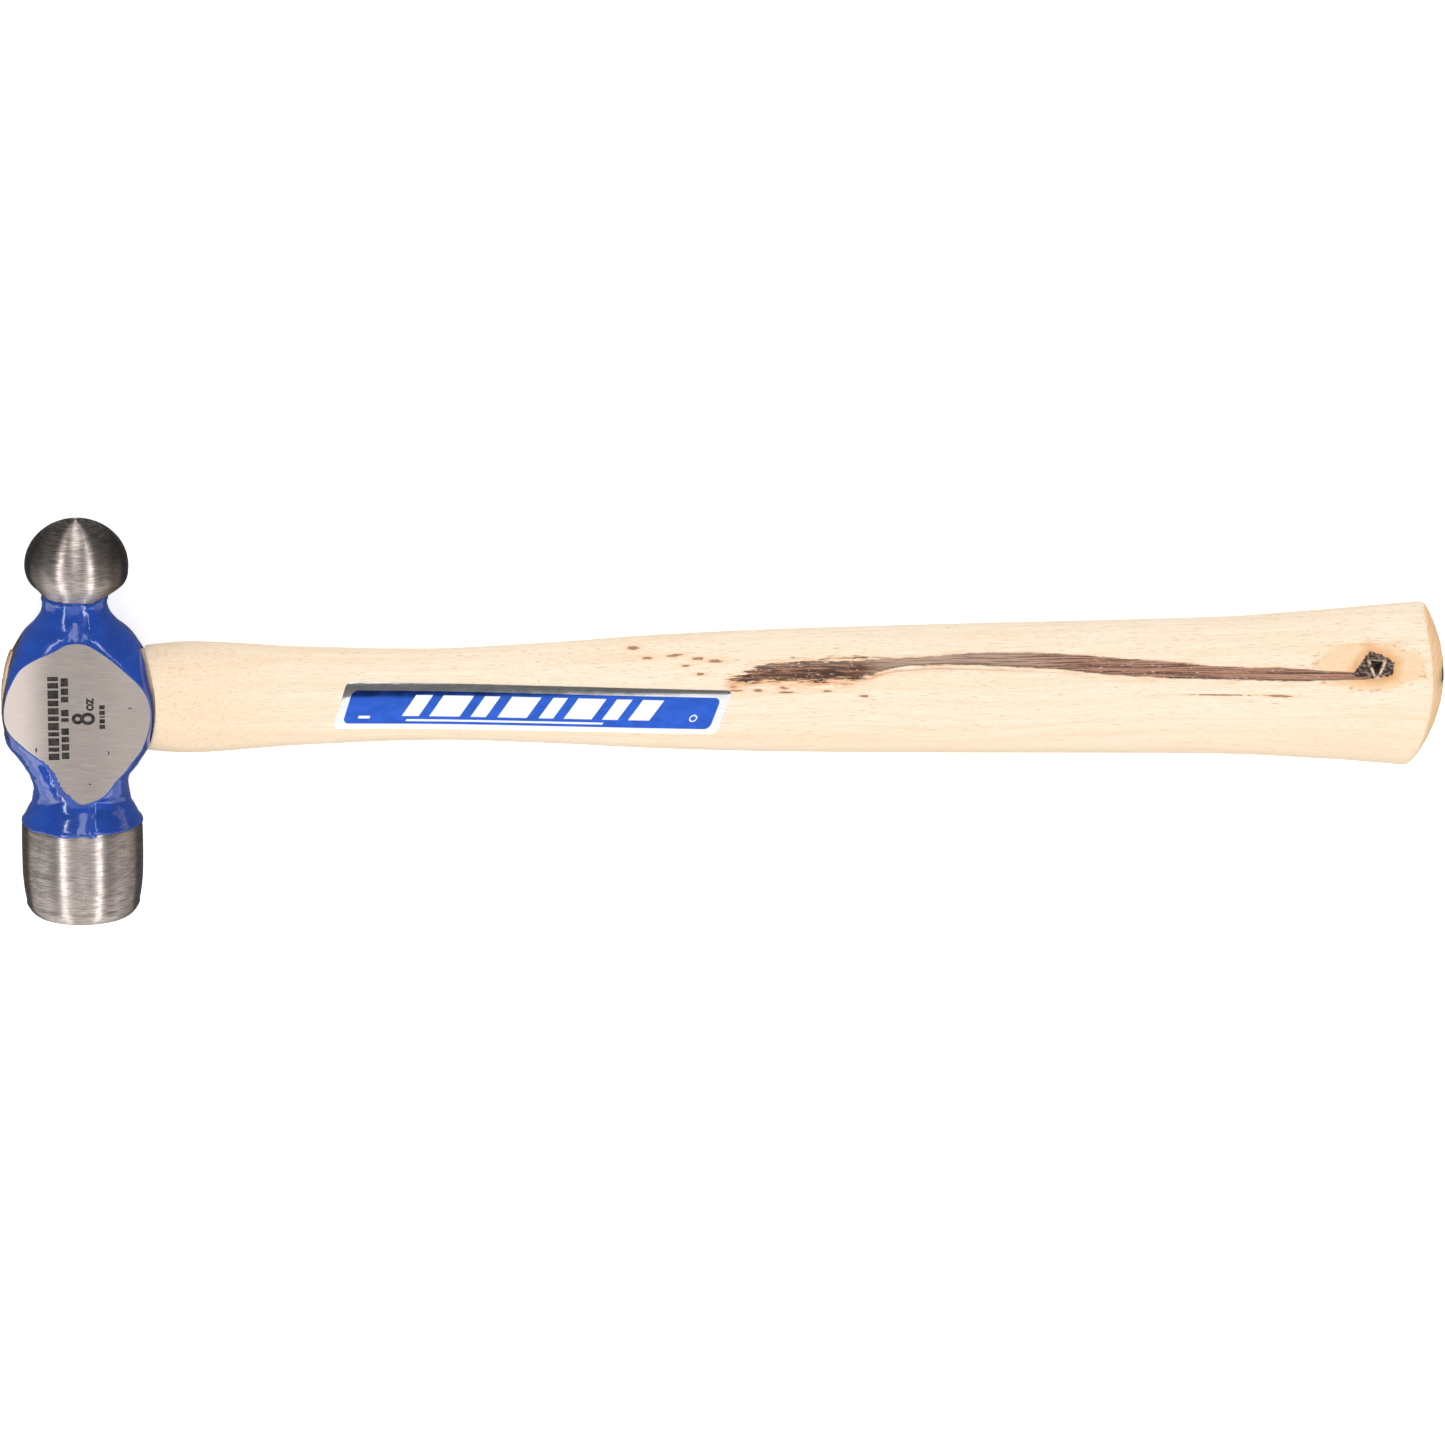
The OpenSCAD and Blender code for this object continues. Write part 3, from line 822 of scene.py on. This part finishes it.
def steel_rings():
    """Rings of the bare head, from the middle of the striking face to the top of the ball."""
    rings = [ring_at(-FACE_REACH + back, radius) for back, radius in FACE_EDGE]
    for y in spread(-43.4, 26.3, 230):
        rings.append([head_point(y, q) for q in angles(TURNS)])
    ball_h = BALL_REACH - BALL_CENTRE
    for t in spread(-12, 90, 36):
        t = math.radians(t)
        rings.append(ring_at(BALL_CENTRE + ball_h * math.sin(t), BALL_R * math.cos(t)))
    return rings


def dome_place(y, back=0.0):
    """Place of the head's ground top at the height y."""
    return -EYE_HALF_W + back + TOP_R - math.sqrt(TOP_R**2 - y * y)


def dome_cutter(name, back, low, high, material):
    """Block that takes away what stands past the head's round top, between two places."""
    arc = [(dome_place(y, back), y) for y in spread(low, high, 48)]
    outline = [(-40, low)] + arc + [(-40, high)]
    return as_object(name, prism(outline, -20, 20), material)


def eye_ring(x, gap, turns):
    """Ring in the oval eye, which is narrowest at its middle, a gap away from its wall."""
    flare = 1 + EYE_FLARE * abs(x) / EYE_HALF_W
    a, b = (half * flare + gap for half in EYE_OVAL)
    radii = [oval(a, b, 2, q) for q in turns]
    return [(x, r * math.cos(q), r * math.sin(q)) for r, q in zip(radii, turns)]


def eye_cutter(low, high, gap, material):
    turns = angles(96)
    rings = [eye_ring(x, gap, turns) for x in spread(low, high, 12)]
    low_end, high_end = ([(x, 0, 0)] * len(turns) for x in (low, high))
    return as_object("eye_cutter", loft([low_end, *rings, high_end]), material)


def cheek_cutters(material):
    for side in (-1, 1):
        low, high = sorted((side * CHEEK_Z, side * 20.0))
        yield as_object("grind", block((-30, CHEEK_LOW, low), (30, CHEEK_HIGH, high)), material)


def lettering(text, box, low, high, material):
    """Weight mark that reads along +Y, fitted into a box of x and y, as a cutter."""
    curve = bpy.data.curves.new("mark", "FONT")
    curve.body = text
    curve.resolution_u = 6
    curve.extrude = 0.5
    curve.offset = 0.065
    source = bpy.data.objects.new("mark", curve)
    bpy.context.scene.collection.objects.link(source)
    bm = bmesh.new()
    bm.from_mesh(evaluated_mesh(source))
    bpy.data.objects.remove(source)
    bmesh.ops.remove_doubles(bm, verts=bm.verts, dist=1e-5)
    spin(bm, 90, "Z")
    for k, (start, end) in enumerate((*zip(*box), (low, high))):
        values = [vert.co[k] for vert in bm.verts]
        least, most = min(values), max(values)
        for vert in bm.verts:
            vert.co[k] = start + (vert.co[k] - least) / (most - least) * (end - start)
    bmesh.ops.recalc_face_normals(bm, faces=bm.faces)
    return as_object("mark", bm, material)


def bowl(middle, half, wide, low, high, material):
    """Round stroke of a figure, as a cutter: half sizes of its middle line, and half its width."""
    (x, y), (a, b) = middle, half
    rings = [
        [(x + (a + extra) * math.cos(q), y + (b + extra) * math.sin(q), z) for q in angles(48)]
        for extra, z in ((-wide, low), (wide, low), (wide, high), (-wide, high))
    ]
    return as_object("bowl", loft(rings, looped=True), material)


# Plain bars struck into the cheek: x from and to, and the y ends of each bar in the row
BAR_ROWS = (
    (-6.05, -3.8, (-10.6, -9.2, -8.8, -7.9, -7.5, -5.9, -5.5, -4.6, -4.2, -2.6, -2.2, -1.2, -0.8, 0.6,
                   1.0, 2.2, 2.6, 4.4, 4.8, 6.0, 6.4, 7.3)),
    (-3.3, -1.75, (-10.4, -9.0, -8.6, -7.2, -6.8, -5.6, -5.2, -3.8, -2.4, -1.6, -1.2, 0.2, 1.8, 3.0,
                   3.4, 4.8, 5.2, 7.0)),
    (4.6, 5.75, (-4.0, -3.1, -2.8, -1.9, -1.6, -1.3, -1.0, -0.1, 0.2, 1.1)),
)
# Small nicks: middle and half sizes
NICKS = ((-8.6, -8.4, 0.35, 1.1), (2.4, -15.9, 0.5, 0.3), (11.0, 0.4, 0.9, 0.25), (6.4, -9.2, 0.25, 0.8))
# The weight's figure: middles and half sizes of its two bowls
FIGURE = (((0.1, -1.8), (0.85, 0.80)), ((2.2, -1.8), (1.15, 0.96)))
STROKE_HALF = 0.38


def bars_cutter(low, high, material):
    """Rows of plain bars and a few nicks, as one cutter."""
    parts = [
        block((x0, y0, low), (x1, y1, high))
        for x0, x1, ends in BAR_ROWS for y0, y1 in zip(ends[::2], ends[1::2])
    ]
    for x, y, dx, dy in NICKS:
        parts.append(prism([(x - dx, y), (x, y - dy), (x + dx, y), (x, y + dy)], low + 0.04, high, 0.6))
    return as_object("bars", gather(parts), material)


class HAMMER_OT_head(bpy.types.Operator):
    """Bare steel head with its ground cheeks, domed top, eye and struck marks"""

    bl_idname = "hammer.head"
    bl_label = "Steel head"

    def execute(self, context):
        sizes, colours = context.scene.hammer_sizes, context.scene.hammer_colours
        low, high = CHEEK_Z - sizes.stamp_depth / MM, CHEEK_Z + 1
        cheek = ground_steel("ground_cheek", colours.steel, 1)
        crown = ground_steel("ground_top", colours.steel, 2)
        mark = stamped_steel("struck_mark", colours.steel, 0.09)
        wall = stamped_steel("eye_wall", colours.steel, 0.30)
        head = as_object("steel_head", loft(steel_rings()), turned_steel(colours.steel))
        carve(head, dome_cutter("top_grind", 0.0, -15.5, 15.5, crown))
        for cutter in cheek_cutters(cheek):
            carve(head, cutter)
        carve(head, eye_cutter(-24, 24, 0.0, wall))
        carve(head, lettering("OZ", ((1.9, -0.1), (3.5, 2.7)), low, high, mark))
        for middle, half in FIGURE:
            carve(head, bowl(middle, half, STROKE_HALF, low, high, mark))
        carve(head, bars_cutter(low, high, mark))
        place(head)
        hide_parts("head")
        return {"FINISHED"}


# ---------------------------------------------------------------- enamel

def wave(q, a, b, c):
    """Gentle unevenness around the head, the same after a full turn."""
    return 0.5 * math.sin(3 * q + a) + 0.3 * math.sin(7 * q + b) + 0.2 * math.sin(13 * q + c)


def film_ends(q):
    """Where the dipped enamel stops at the angle q, towards the face and towards the ball."""
    x = 12.8 * math.cos(q)
    on_top = smooth(0, 0.4, math.sin(q))
    low = -26.45 - 0.25 * wave(q, 1, 2, 0.5) - on_top * (0.7 * hump(x, 2.5, 1.0) + 0.35 * hump(x, -3.5, 2.2))
    x = 6.9 * math.cos(q)
    high = 22.3 + 0.2 * wave(q, 0.4, 3, 1) - on_top * 0.5 * hump(x, 3.6, 1.0)
    return low, high


# Length of the film along the head, and its first closely spaced stations from each end
FILM_LENGTH = 48.8
FILM_EDGE = (0.0, 0.06, 0.15, 0.28, 0.45, 0.65, 0.9, 1.2, 1.6, 2.1)


def film_lift(y, q, edge, film, bead):
    """Height of the enamel over the steel, at a distance from its nearer end."""
    at = Vector(head_point(y, q))
    flow = 1 + 0.4 * noise.noise(at / 5)
    ripple = 1 + 0.7 * noise.noise(at / 0.9) * smooth(0.2, 0.7, math.sin(q))
    rest = smooth(-0.95, -0.3, math.sin(q)) if y < -20 else 1
    lift = film * flow * (0.35 + 0.65 * rest) + bead * ripple * hump(edge, 0.55, 0.42) * rest
    lip = smooth(0.5, 0.85, math.sin(q)) * hump(y, 15.5, 0.7) * hump(at.x, -1.0, 3.6)
    lift += lip * (0.2 + 0.3 * noise.noise(at / 0.7))
    return lift * math.sqrt(min(edge / 0.3, 1))


class HAMMER_OT_enamel(bpy.types.Operator):
    """Dipped enamel film with beaded ends, ground away on the cheeks and the top"""

    bl_idname = "hammer.enamel"
    bl_label = "Blue enamel"

    def execute(self, context):
        sizes, colours = context.scene.hammer_sizes, context.scene.hammer_colours
        film, bead = sizes.film / MM, sizes.bead / MM
        near = [place / FILM_LENGTH for place in FILM_EDGE]
        shares = near + spread(2.6 / FILM_LENGTH, 1 - 2.6 / FILM_LENGTH, 118)
        shares += [1 - share for share in reversed(near)]
        outer, inner = [], []
        for share in shares:
            outer.append([])
            inner.append([])
            for q in angles(TURNS):
                low, high = film_ends(q)
                y = low + (high - low) * share
                edge = min(share, 1 - share) * (high - low)
                outer[-1].append(head_point(y, q, film_lift(y, q, edge, film, bead)))
                inner[-1].append(head_point(y, q))
        rings = outer + inner[-2:0:-1]
        coat = dipped_enamel(colours.enamel)
        shell = as_object("blue_enamel", loft(rings, looped=True), coat)
        carve(shell, dome_cutter("top_grind", 1.0, -6.5, 15.5, coat))
        for cutter in cheek_cutters(coat):
            carve(shell, cutter)
        carve(shell, eye_cutter(4, 24, 0.4, coat))
        place(shell)
        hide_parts("head_enamel")
        return {"FINISHED"}


# ---------------------------------------------------------------- handle

SHAFT_END = HANDLE_REACH - 6

# Stations along the handle: place, half height, half thickness
SHAFT = (
    (13.5, 10.9, 8.3), (23.0, 11.6, 8.7), (46.0, 10.3, 7.8), (73.0, 9.55, 7.2), (96.0, 10.4, 7.9),
    (121.0, 11.9, 8.9), (146.0, 12.8, 9.6), (178.0, 13.4, 10.0), (236.0, 14.3, 10.4), (255.0, 15.4, 10.9),
    (SHAFT_END, 17.1, 11.6),
)
SHOULDER, SHOULDER_END = 13.5, 23.0
SQUARENESS = 2.3
BUTT_R, BUTT_Y = 28.5, 2.5

# Rings of the butt: share of the shaft's outline, and how far the rounded edge is set back
BUTT_RINGS = (
    (1, 1.0), (0.996, 0.55), (0.985, 0.22), (0.965, 0.05), (0.94, 0), (0.85, 0), (0.7, 0), (0.5, 0), (0.3, 0),
    (0.12, 0), (0, 0),
)
# Rings of the shaft, closer together over the streak and the knot, and where they start to follow the butt
SHAFT_PLACES = (*spread(24, 134, 84), *spread(135, 261, 128), *spread(261.3, 274.5, 44), 275.2, 276, 277.3)
PULL_START = 262


def shaft_point(x, q):
    """Point on the handle's plain skin."""
    r = oval(along(SHAFT, x, 1), along(SHAFT, x, 2), SQUARENESS, q)
    return x, r * math.cos(q), r * math.sin(q)


def shaft_height(x, y):
    """Height of the handle's skin above its axis."""
    a, b = along(SHAFT, x, 1), along(SHAFT, x, 2)
    return b * (1 - abs(y / a) ** SQUARENESS) ** (1 / SQUARENESS)


def seat_place(y):
    """Place of the shoulder's seat, which follows the side of the head."""
    return EYE_HALF_W + 0.25 - TOP_R + math.sqrt(TOP_R**2 - y * y)


def relief(x, y, z):
    """Rise of the skin over the streak and the knot, in millimetres."""
    if z < 3 or x < 134:
        return 0.0
    middle, half = along(STREAK, x, 1), along(STREAK, x, 2)
    rough = noise.noise(Vector((x / 2.5, y / 0.6, 3.0)))
    dent = smooth(half + 0.25, half - 0.25, abs(y - middle)) * (0.09 + 0.07 * rough)
    away = math.hypot((x - 268.9) / 4.4, (y - 6.9) / 3.3)
    knot = smooth(1.05, 0.85, away) * (0.16 + 0.16 * noise.noise(Vector((x / 0.9, y / 0.7, 8.0))))
    swell = 0.28 * smooth(1.9, 1.0, away) * (1 - smooth(1.05, 0.85, away))
    return swell - dent - knot


def dome_end(y, z, back):
    """Place of the butt's domed end, set back."""
    return HANDLE_REACH - BUTT_R + math.sqrt(BUTT_R**2 - (y - BUTT_Y) ** 2 - z * z) - back


def tenon_rings(turns):
    """Rings from the middle of the tenon's end, through the eye, to its far side."""
    first = eye_ring(-EYE_HALF_W, -0.02, turns)
    rings = []
    for s in (0, 0.25, 0.5, 0.75, 0.93, 1):
        back = 0.15 if s < 0.95 else 0.4
        rings.append([(dome_place(s * y) + back, s * y, s * z) for _, y, z in first])
    return rings + [eye_ring(x, -0.02, turns) for x in (-9.6, -4.8, 0, 4.8, 9.6)]


def shoulder_rings(turns):
    """Rings of the shoulder: across its seat on the head, then out to the shaft."""
    inner = eye_ring(EYE_HALF_W, -0.02, turns)
    outer = [shaft_point(SHOULDER, q) for q in turns]
    rings = []
    for u in (0, 0.3, 0.6, 0.85, 0.96, 1):
        back, draw_in = (0.25, 0.995) if u == 1 else (0, 0.985)
        ring = []
        for a, b in zip(inner, outer):
            y, z = (a[k] * (1 - u) + b[k] * u for k in (1, 2))
            ring.append((seat_place(y) + back, y * draw_in, z))
        rings.append(ring)
    for u in spread(1 / 12, 1, 11):
        skin = [shaft_point(SHOULDER + (SHOULDER_END - SHOULDER) * u, q) for q in turns]
        rings.append([(seat_place(y) * (1 - u) + SHOULDER_END * u, y, z) for _, y, z in skin])
    return rings


def handle_rings():
    """Rings of the whole handle. They are closer together over the streak and the knot."""
    turns = sorted(angles(104) + [math.radians(a) for a in spread(42.2, 80.2, 52)])
    rings = tenon_rings(turns) + shoulder_rings(turns)
    for x in SHAFT_PLACES:
        past = max(0.0, x - PULL_START) / (SHAFT_END - PULL_START)
        ring = []
        for q in turns:
            _, y, z = shaft_point(x, q)
            pull = past * max(0.0, SHAFT_END - dome_end(y, z, 1.0))
            ring.append((x - pull, y, z + relief(x, y, z)))
        rings.append(ring)
    end = [shaft_point(SHAFT_END, q) for q in turns]
    for s, back in BUTT_RINGS:
        rings.append([(dome_end(s * y, s * z, back), s * y, s * z) for _, y, z in end])
    return rings


def kerf_cutters(material):
    """The cuts in the tenon that the wedges fill, shaped like the wedges."""
    low = -EYE_HALF_W - 1
    wood_tip, steel_tip = 22 - EYE_HALF_W, 13 - EYE_HALF_W
    bm = prism([(low, -1.4), (wood_tip, -0.3), (wood_tip, 0.3), (low, 1.4)], -13, 13)
    spin(bm, 90, "X")
    yield as_object("kerf", bm, material)
    for side in (-1, 1):
        bm = prism([(low, -0.9), (steel_tip, -0.3), (steel_tip, 0.3), (low, 0.9)], -4.5, 4.5)
        spin(bm, 18 * side, "X")
        bmesh.ops.translate(bm, vec=(0, 4.6 * side, 0), verts=bm.verts)
        yield as_object("kerf", bm, material)


class HAMMER_OT_handle(bpy.types.Operator):
    """Hickory handle with its tenon, shoulder, grip, domed butt, streak and knot"""

    bl_idname = "hammer.handle"
    bl_label = "Hickory handle"

    def execute(self, context):
        sizes, colours = context.scene.hammer_sizes, context.scene.hammer_colours
        wood = hickory(colours)
        butt = end_grain("butt_end", colours.lacquer, dim(colours.lacquer, 0.85), True)
        tenon = end_grain("tenon_end", (0.62, 0.43, 0.32), (0.42, 0.25, 0.17), False)
        bm = loft(handle_rings())
        for face in bm.faces:
            middle = face.calc_center_median()
            if middle.x > HANDLE_REACH - 11 and face.normal.x > 0.5:
                face.material_index = 1
            elif middle.x < -12 and face.normal.x < -0.7:
                face.material_index = 2
        handle = as_object("hickory_handle", bm, wood, butt, tenon)
        for cutter in kerf_cutters(tenon):
            carve(handle, cutter)
        height = shaft_height(269, 6)
        hole = prism(POCKET, height - sizes.pocket_depth / MM, height + 2, 0.45)
        carve(handle, as_object("pocket", hole, pocket_bark()))
        place(handle, 40)
        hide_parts("handle")
        return {"FINISHED"}


# ---------------------------------------------------------------- wedges and label

class HAMMER_OT_wedges(bpy.types.Operator):
    """Finishes of the wooden wedge and the two steel wedges in the eye"""

    bl_idname = "hammer.wedges"
    bl_label = "Wedges"

    def execute(self, context):
        wood, steel = wedge_wood(), wedge_steel()
        for name, material in (("wood_wedge", wood), ("steel_wedge_ball_side", steel),
                               ("steel_wedge_face_side", steel)):
            mesh = frame["nodes"][name].data
            mesh.materials.clear()
            mesh.materials.append(material)
        return {"FINISHED"}


# Corners of the label on the handle, in order around it, and its length, width and rounding
LABEL = ((55.9, 4.75), (135.8, 2.66), (132.2, -7.0), (52.8, -5.2))
LABEL_LONG, LABEL_WIDE, LABEL_CORNER = 80.0, 9.8, 0.9
LABEL_LIFT = 0.03
LABEL_THICK = 0.15
# The printed panel, in millimetres along and up the label: middle and half size, then its rounding
PANEL_MIDDLE, PANEL_HALF, PANEL_CORNER = (39.95, 4.68), (38.25, 3.53), 1.3
# Plain slanted bars of the print, from and to
PRINT_BARS = (
    (12.5, 16.0), (18.2, 24.5), (26.8, 30.0), (32.4, 38.5), (41.0, 44.0), (46.2, 52.0), (54.2, 57.4),
    (59.6, 64.0),
)


def label_point(u, v):
    """Place on the label: u from 0 at the head to 1, and v from 0 at the lower edge to 1."""
    a, b, c, d = (Vector(p) for p in LABEL)
    return d.lerp(c, u).lerp(a.lerp(b, u), v)


def foil_label(print_blue):
    """Printed foil: a silver border, a blue panel and plain slanted bars."""
    f = Finish("printed_foil")
    own = f.node("ShaderNodeUVMap", uv_map="label")
    u, v, _ = f.split(own.outputs["UV"])
    right, up = f.times(u, LABEL_LONG), f.times(v, LABEL_WIDE)

    def between(value, low, high, soft=0.06):
        return f.times(f.step(low - soft, low + soft, value), f.step(high + soft, high - soft, value))

    past = []
    for value, middle, half in zip((right, up), PANEL_MIDDLE, PANEL_HALF):
        over = f.minus(f.number("ABSOLUTE", f.minus(value, middle)), half - PANEL_CORNER)
        past.append(f.number("POWER", f.most(over, 0.0), 2.0))
    panel = f.step(PANEL_CORNER + 0.06, PANEL_CORNER - 0.06, f.number("SQRT", f.plus(*past)))

    slant = f.scaled(up, -0.36, right)
    bars = f.most(*(between(slant, low, high, 0.1) for low, high in PRINT_BARS))
    bars = f.times(bars, between(up, 2.9, 7.4, 0.1))
    under = f.times(between(up, 1.75, 2.2), between(slant, 14, 55))
    tick = f.times(between(right, 4.6, 7.0), between(up, 2.3, 2.9))
    disc = f.node("ShaderNodeCombineXYZ")
    f.feed(disc.inputs[0], f.minus(right, 74.0))
    f.feed(disc.inputs[1], f.minus(up, 3.6))
    dot = between(f.vector("LENGTH", disc.outputs[0]), 0.55, 0.8)
    white = f.times(f.most(bars, under, dot, tick), panel)

    crinkle = f.grain(f.spot, (2.6, 1.4, 2), detail=3)
    brushed = f.grain(f.spot, (8, 0.12, 2), offset=(3, 3, 3))
    foil = f.mix(f.step(0.35, 0.7, brushed), (0.84, 0.84, 0.86), (0.95, 0.95, 0.96))
    blue = f.mix(f.step(0.3, 0.7, crinkle), dim(print_blue, 0.9), dim(print_blue, 1.12))
    tone = f.mix(white, f.mix(panel, foil, blue), (0.88, 0.90, 0.95))
    f.set(base_color=tone, metallic=f.minus(1.0, white), roughness=f.step(0.3, 0.7, crinkle, 0.13, 0.20))
    f.bump(crinkle, 0.00004, 0.35)
    return f.material


class HAMMER_OT_label(bpy.types.Operator):
    """Printed foil label that follows the handle's skin"""

    bl_idname = "hammer.label"
    bl_label = "Foil label"

    def execute(self, context):
        colours = context.scene.hammer_colours
        bm = bmesh.new()
        bmesh.ops.create_grid(bm, x_segments=160, y_segments=20, size=0.5, calc_uvs=False)
        uv = bm.loops.layers.uv.new("label")
        for face in bm.faces:
            for loop in face.loops:
                loop[uv].uv = (loop.vert.co.x + 0.5, loop.vert.co.y + 0.5)
        for vert in bm.verts:
            u, v = vert.co.x + 0.5, vert.co.y + 0.5
            across = abs(v - 0.5) * LABEL_WIDE
            pull = max(0.0, across - (LABEL_WIDE / 2 - LABEL_CORNER)) / LABEL_CORNER
            inset = LABEL_CORNER * (1 - math.sqrt(max(0.0, 1 - pull * pull)))
            x, y = label_point((u - 0.5) * (1 - 2 * inset / LABEL_LONG) + 0.5, v)
            flutter = 0.02 * noise.noise(Vector((x / 6, y / 3, 1.0)))
            edge = smooth(0.0, 0.02, min(v, 1 - v)) * smooth(0.0, 0.004, min(u, 1 - u))
            lift = LABEL_LIFT + LABEL_THICK * (0.6 + 0.4 * edge) + flutter
            vert.co = (x, y, shaft_height(x, y) + lift)
        bmesh.ops.recalc_face_normals(bm, faces=bm.faces)
        label = as_object("foil_label", bm, foil_label(colours.print_blue))
        wall = label.modifiers.new("thickness", "SOLIDIFY")
        wall.thickness = LABEL_THICK
        wall.offset = -1
        apply_modifiers(label)
        place(label, 50)
        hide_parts("label")
        return {"FINISHED"}


# ---------------------------------------------------------------- stage

LIGHT_REACH = 2.0


def panel_light(name, across, down, width, length, radiance, diffuse=True, glossy=True):
    """Soft flat light around the hammer. Angles are in degrees: across about Y, and down along Y."""
    phi, psi = math.radians(across), math.radians(down)
    out = Vector((math.sin(phi) * math.cos(psi), math.sin(psi), math.cos(phi) * math.cos(psi)))
    side = Vector((math.cos(phi), 0, -math.sin(phi)))
    data = bpy.data.lights.new(name, "AREA")
    data.shape = "RECTANGLE"
    data.size, data.size_y = (2 * LIGHT_REACH * math.tan(math.radians(a / 2)) for a in (width, length))
    data.energy = radiance * math.pi * data.size * data.size_y
    light = bpy.data.objects.new(name, data)
    turn = Matrix((side, out.cross(side), out)).transposed().to_4x4()
    light.matrix_world = Matrix.Translation(EYE + out * LIGHT_REACH) @ turn
    light.visible_camera = False
    light.visible_diffuse = diffuse
    light.visible_glossy = glossy
    bpy.context.scene.collection.objects.link(light)


def studio_world():
    """White surroundings, with a level of their own for reflections and for what the camera sees."""
    world = bpy.data.worlds.new("studio")
    world.use_nodes = True
    nodes, links = world.node_tree.nodes, world.node_tree.links
    nodes["Background"].inputs["Color"].default_value = (1, 1, 1, 1)
    rays = nodes.new("ShaderNodeLightPath")
    level = None
    for ray, brightness in (("Is Glossy Ray", 0.13), ("Is Camera Ray", 1.0)):
        shade = nodes.new("ShaderNodeMix")
        shade.inputs[2].default_value = 0.22
        shade.inputs[3].default_value = brightness
        links.new(rays.outputs[ray], shade.inputs[0])
        if level is not None:
            links.new(level, shade.inputs[2])
        level = shade.outputs[0]
    links.new(level, nodes["Background"].inputs["Strength"])
    return world


def studio_camera():
    """Long lens above the hammer, tilted towards its striking face and rolled slightly."""
    tilt, roll = math.radians(16), math.radians(0.65)
    away = Vector((0, math.sin(tilt), math.cos(tilt)))
    right, up = Vector((1, 0, 0)), Vector((0, math.cos(tilt), -math.sin(tilt)))
    side = right * math.cos(roll) - up * math.sin(roll)
    over = right * math.sin(roll) + up * math.cos(roll)
    data = bpy.data.cameras.new("camera")
    data.sensor_width = 36
    data.lens = 600.4
    data.clip_start, data.clip_end = 0.1, 100
    camera = bpy.data.objects.new("camera", data)
    target = Vector((-0.000065, -0.00272, 0.01319))
    turn = Matrix((side, over, away)).transposed().to_4x4()
    camera.matrix_world = Matrix.Translation(target + away * 5) @ turn
    bpy.context.scene.collection.objects.link(camera)
    return camera


def floor_finish():
    """Plain pale studio floor that glows a little, like a light table."""
    f = Finish("studio_floor")
    cloud = f.grain(f.spot, (400, 400, 400), detail=1)
    tone = f.mix(cloud, (0.93, 0.93, 0.93), (0.95, 0.95, 0.95))
    f.set(base_color=tone, roughness=0.9, specular_ior_level=0.0, emission_color=(1.0, 1.0, 1.0),
          emission_strength=0.5)
    return f.material


class HAMMER_OT_stage(bpy.types.Operator):
    """Pale floor, soft studio lights and the camera"""

    bl_idname = "hammer.stage"
    bl_label = "Stage"

    def execute(self, context):
        scene = context.scene
        bm = bmesh.new()
        bmesh.ops.create_grid(bm, x_segments=8, y_segments=8, size=15)
        bmesh.ops.translate(bm, vec=(0, 0, -0.0002), verts=bm.verts)
        floor = as_object("floor", bm, floor_finish())
        floor.visible_glossy = False
        floor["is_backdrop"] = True
        scene.world = studio_world()
        panel_light("overhead", -2, -35, 50, 56, 0.97)
        panel_light("left_strip", -37, -4, 3.5, 116, 12.5)
        panel_light("right_strip", 34, -4, 3.5, 116, 12.0)
        panel_light("back_strip", 0, 80, 15, 104, 2.8, diffuse=False)
        panel_light("front", 0, -78, 120, 30, 1.5, diffuse=False)
        panel_light("left_side", -98, -42, 50, 66, 1.1, diffuse=False)
        panel_light("right_side", 98, -42, 50, 66, 0.7, diffuse=False)
        panel_light("fill", 0, 38, 80, 50, 0.90, glossy=False)

        scene.camera = studio_camera()
        scene.view_settings.view_transform = "Standard"
        return {"FINISHED"}


# ---------------------------------------------------------------- panel and running order

STEPS = (
    HAMMER_OT_head, HAMMER_OT_enamel, HAMMER_OT_handle, HAMMER_OT_wedges, HAMMER_OT_label, HAMMER_OT_stage,
)


class HAMMER_PT_panel(bpy.types.Panel):
    """Buttons for each piece, with the sizes and colours that they use"""

    bl_idname = "HAMMER_PT_panel"
    bl_label = "Ball-pein hammer"
    bl_space_type = "VIEW_3D"
    bl_region_type = "UI"
    bl_category = "Hammer"

    def draw(self, context):
        layout = self.layout
        for step in STEPS:
            layout.operator(step.bl_idname, text=step.bl_label)
        for group in (context.scene.hammer_sizes, context.scene.hammer_colours):
            for name in group.__annotations__:
                layout.prop(group, name)


CLASSES = (HammerSizes, HammerColours, *STEPS, HAMMER_PT_panel)


def register():
    for cls in CLASSES:
        bpy.utils.register_class(cls)
    bpy.types.Scene.hammer_sizes = bpy.props.PointerProperty(type=HammerSizes)
    bpy.types.Scene.hammer_colours = bpy.props.PointerProperty(type=HammerColours)


def unregister():
    del bpy.types.Scene.hammer_colours
    del bpy.types.Scene.hammer_sizes
    for cls in reversed(CLASSES):
        bpy.utils.unregister_class(cls)


def main():
    register()
    for step in STEPS:
        group, name = step.bl_idname.split(".")
        getattr(getattr(bpy.ops, group), name)()
    boxes = {"cad": cad_bounds, "visual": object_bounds()}
    {key: [list(corner) for corner in box] for key, box in boxes.items()}


if __name__ == "__main__":
    main()
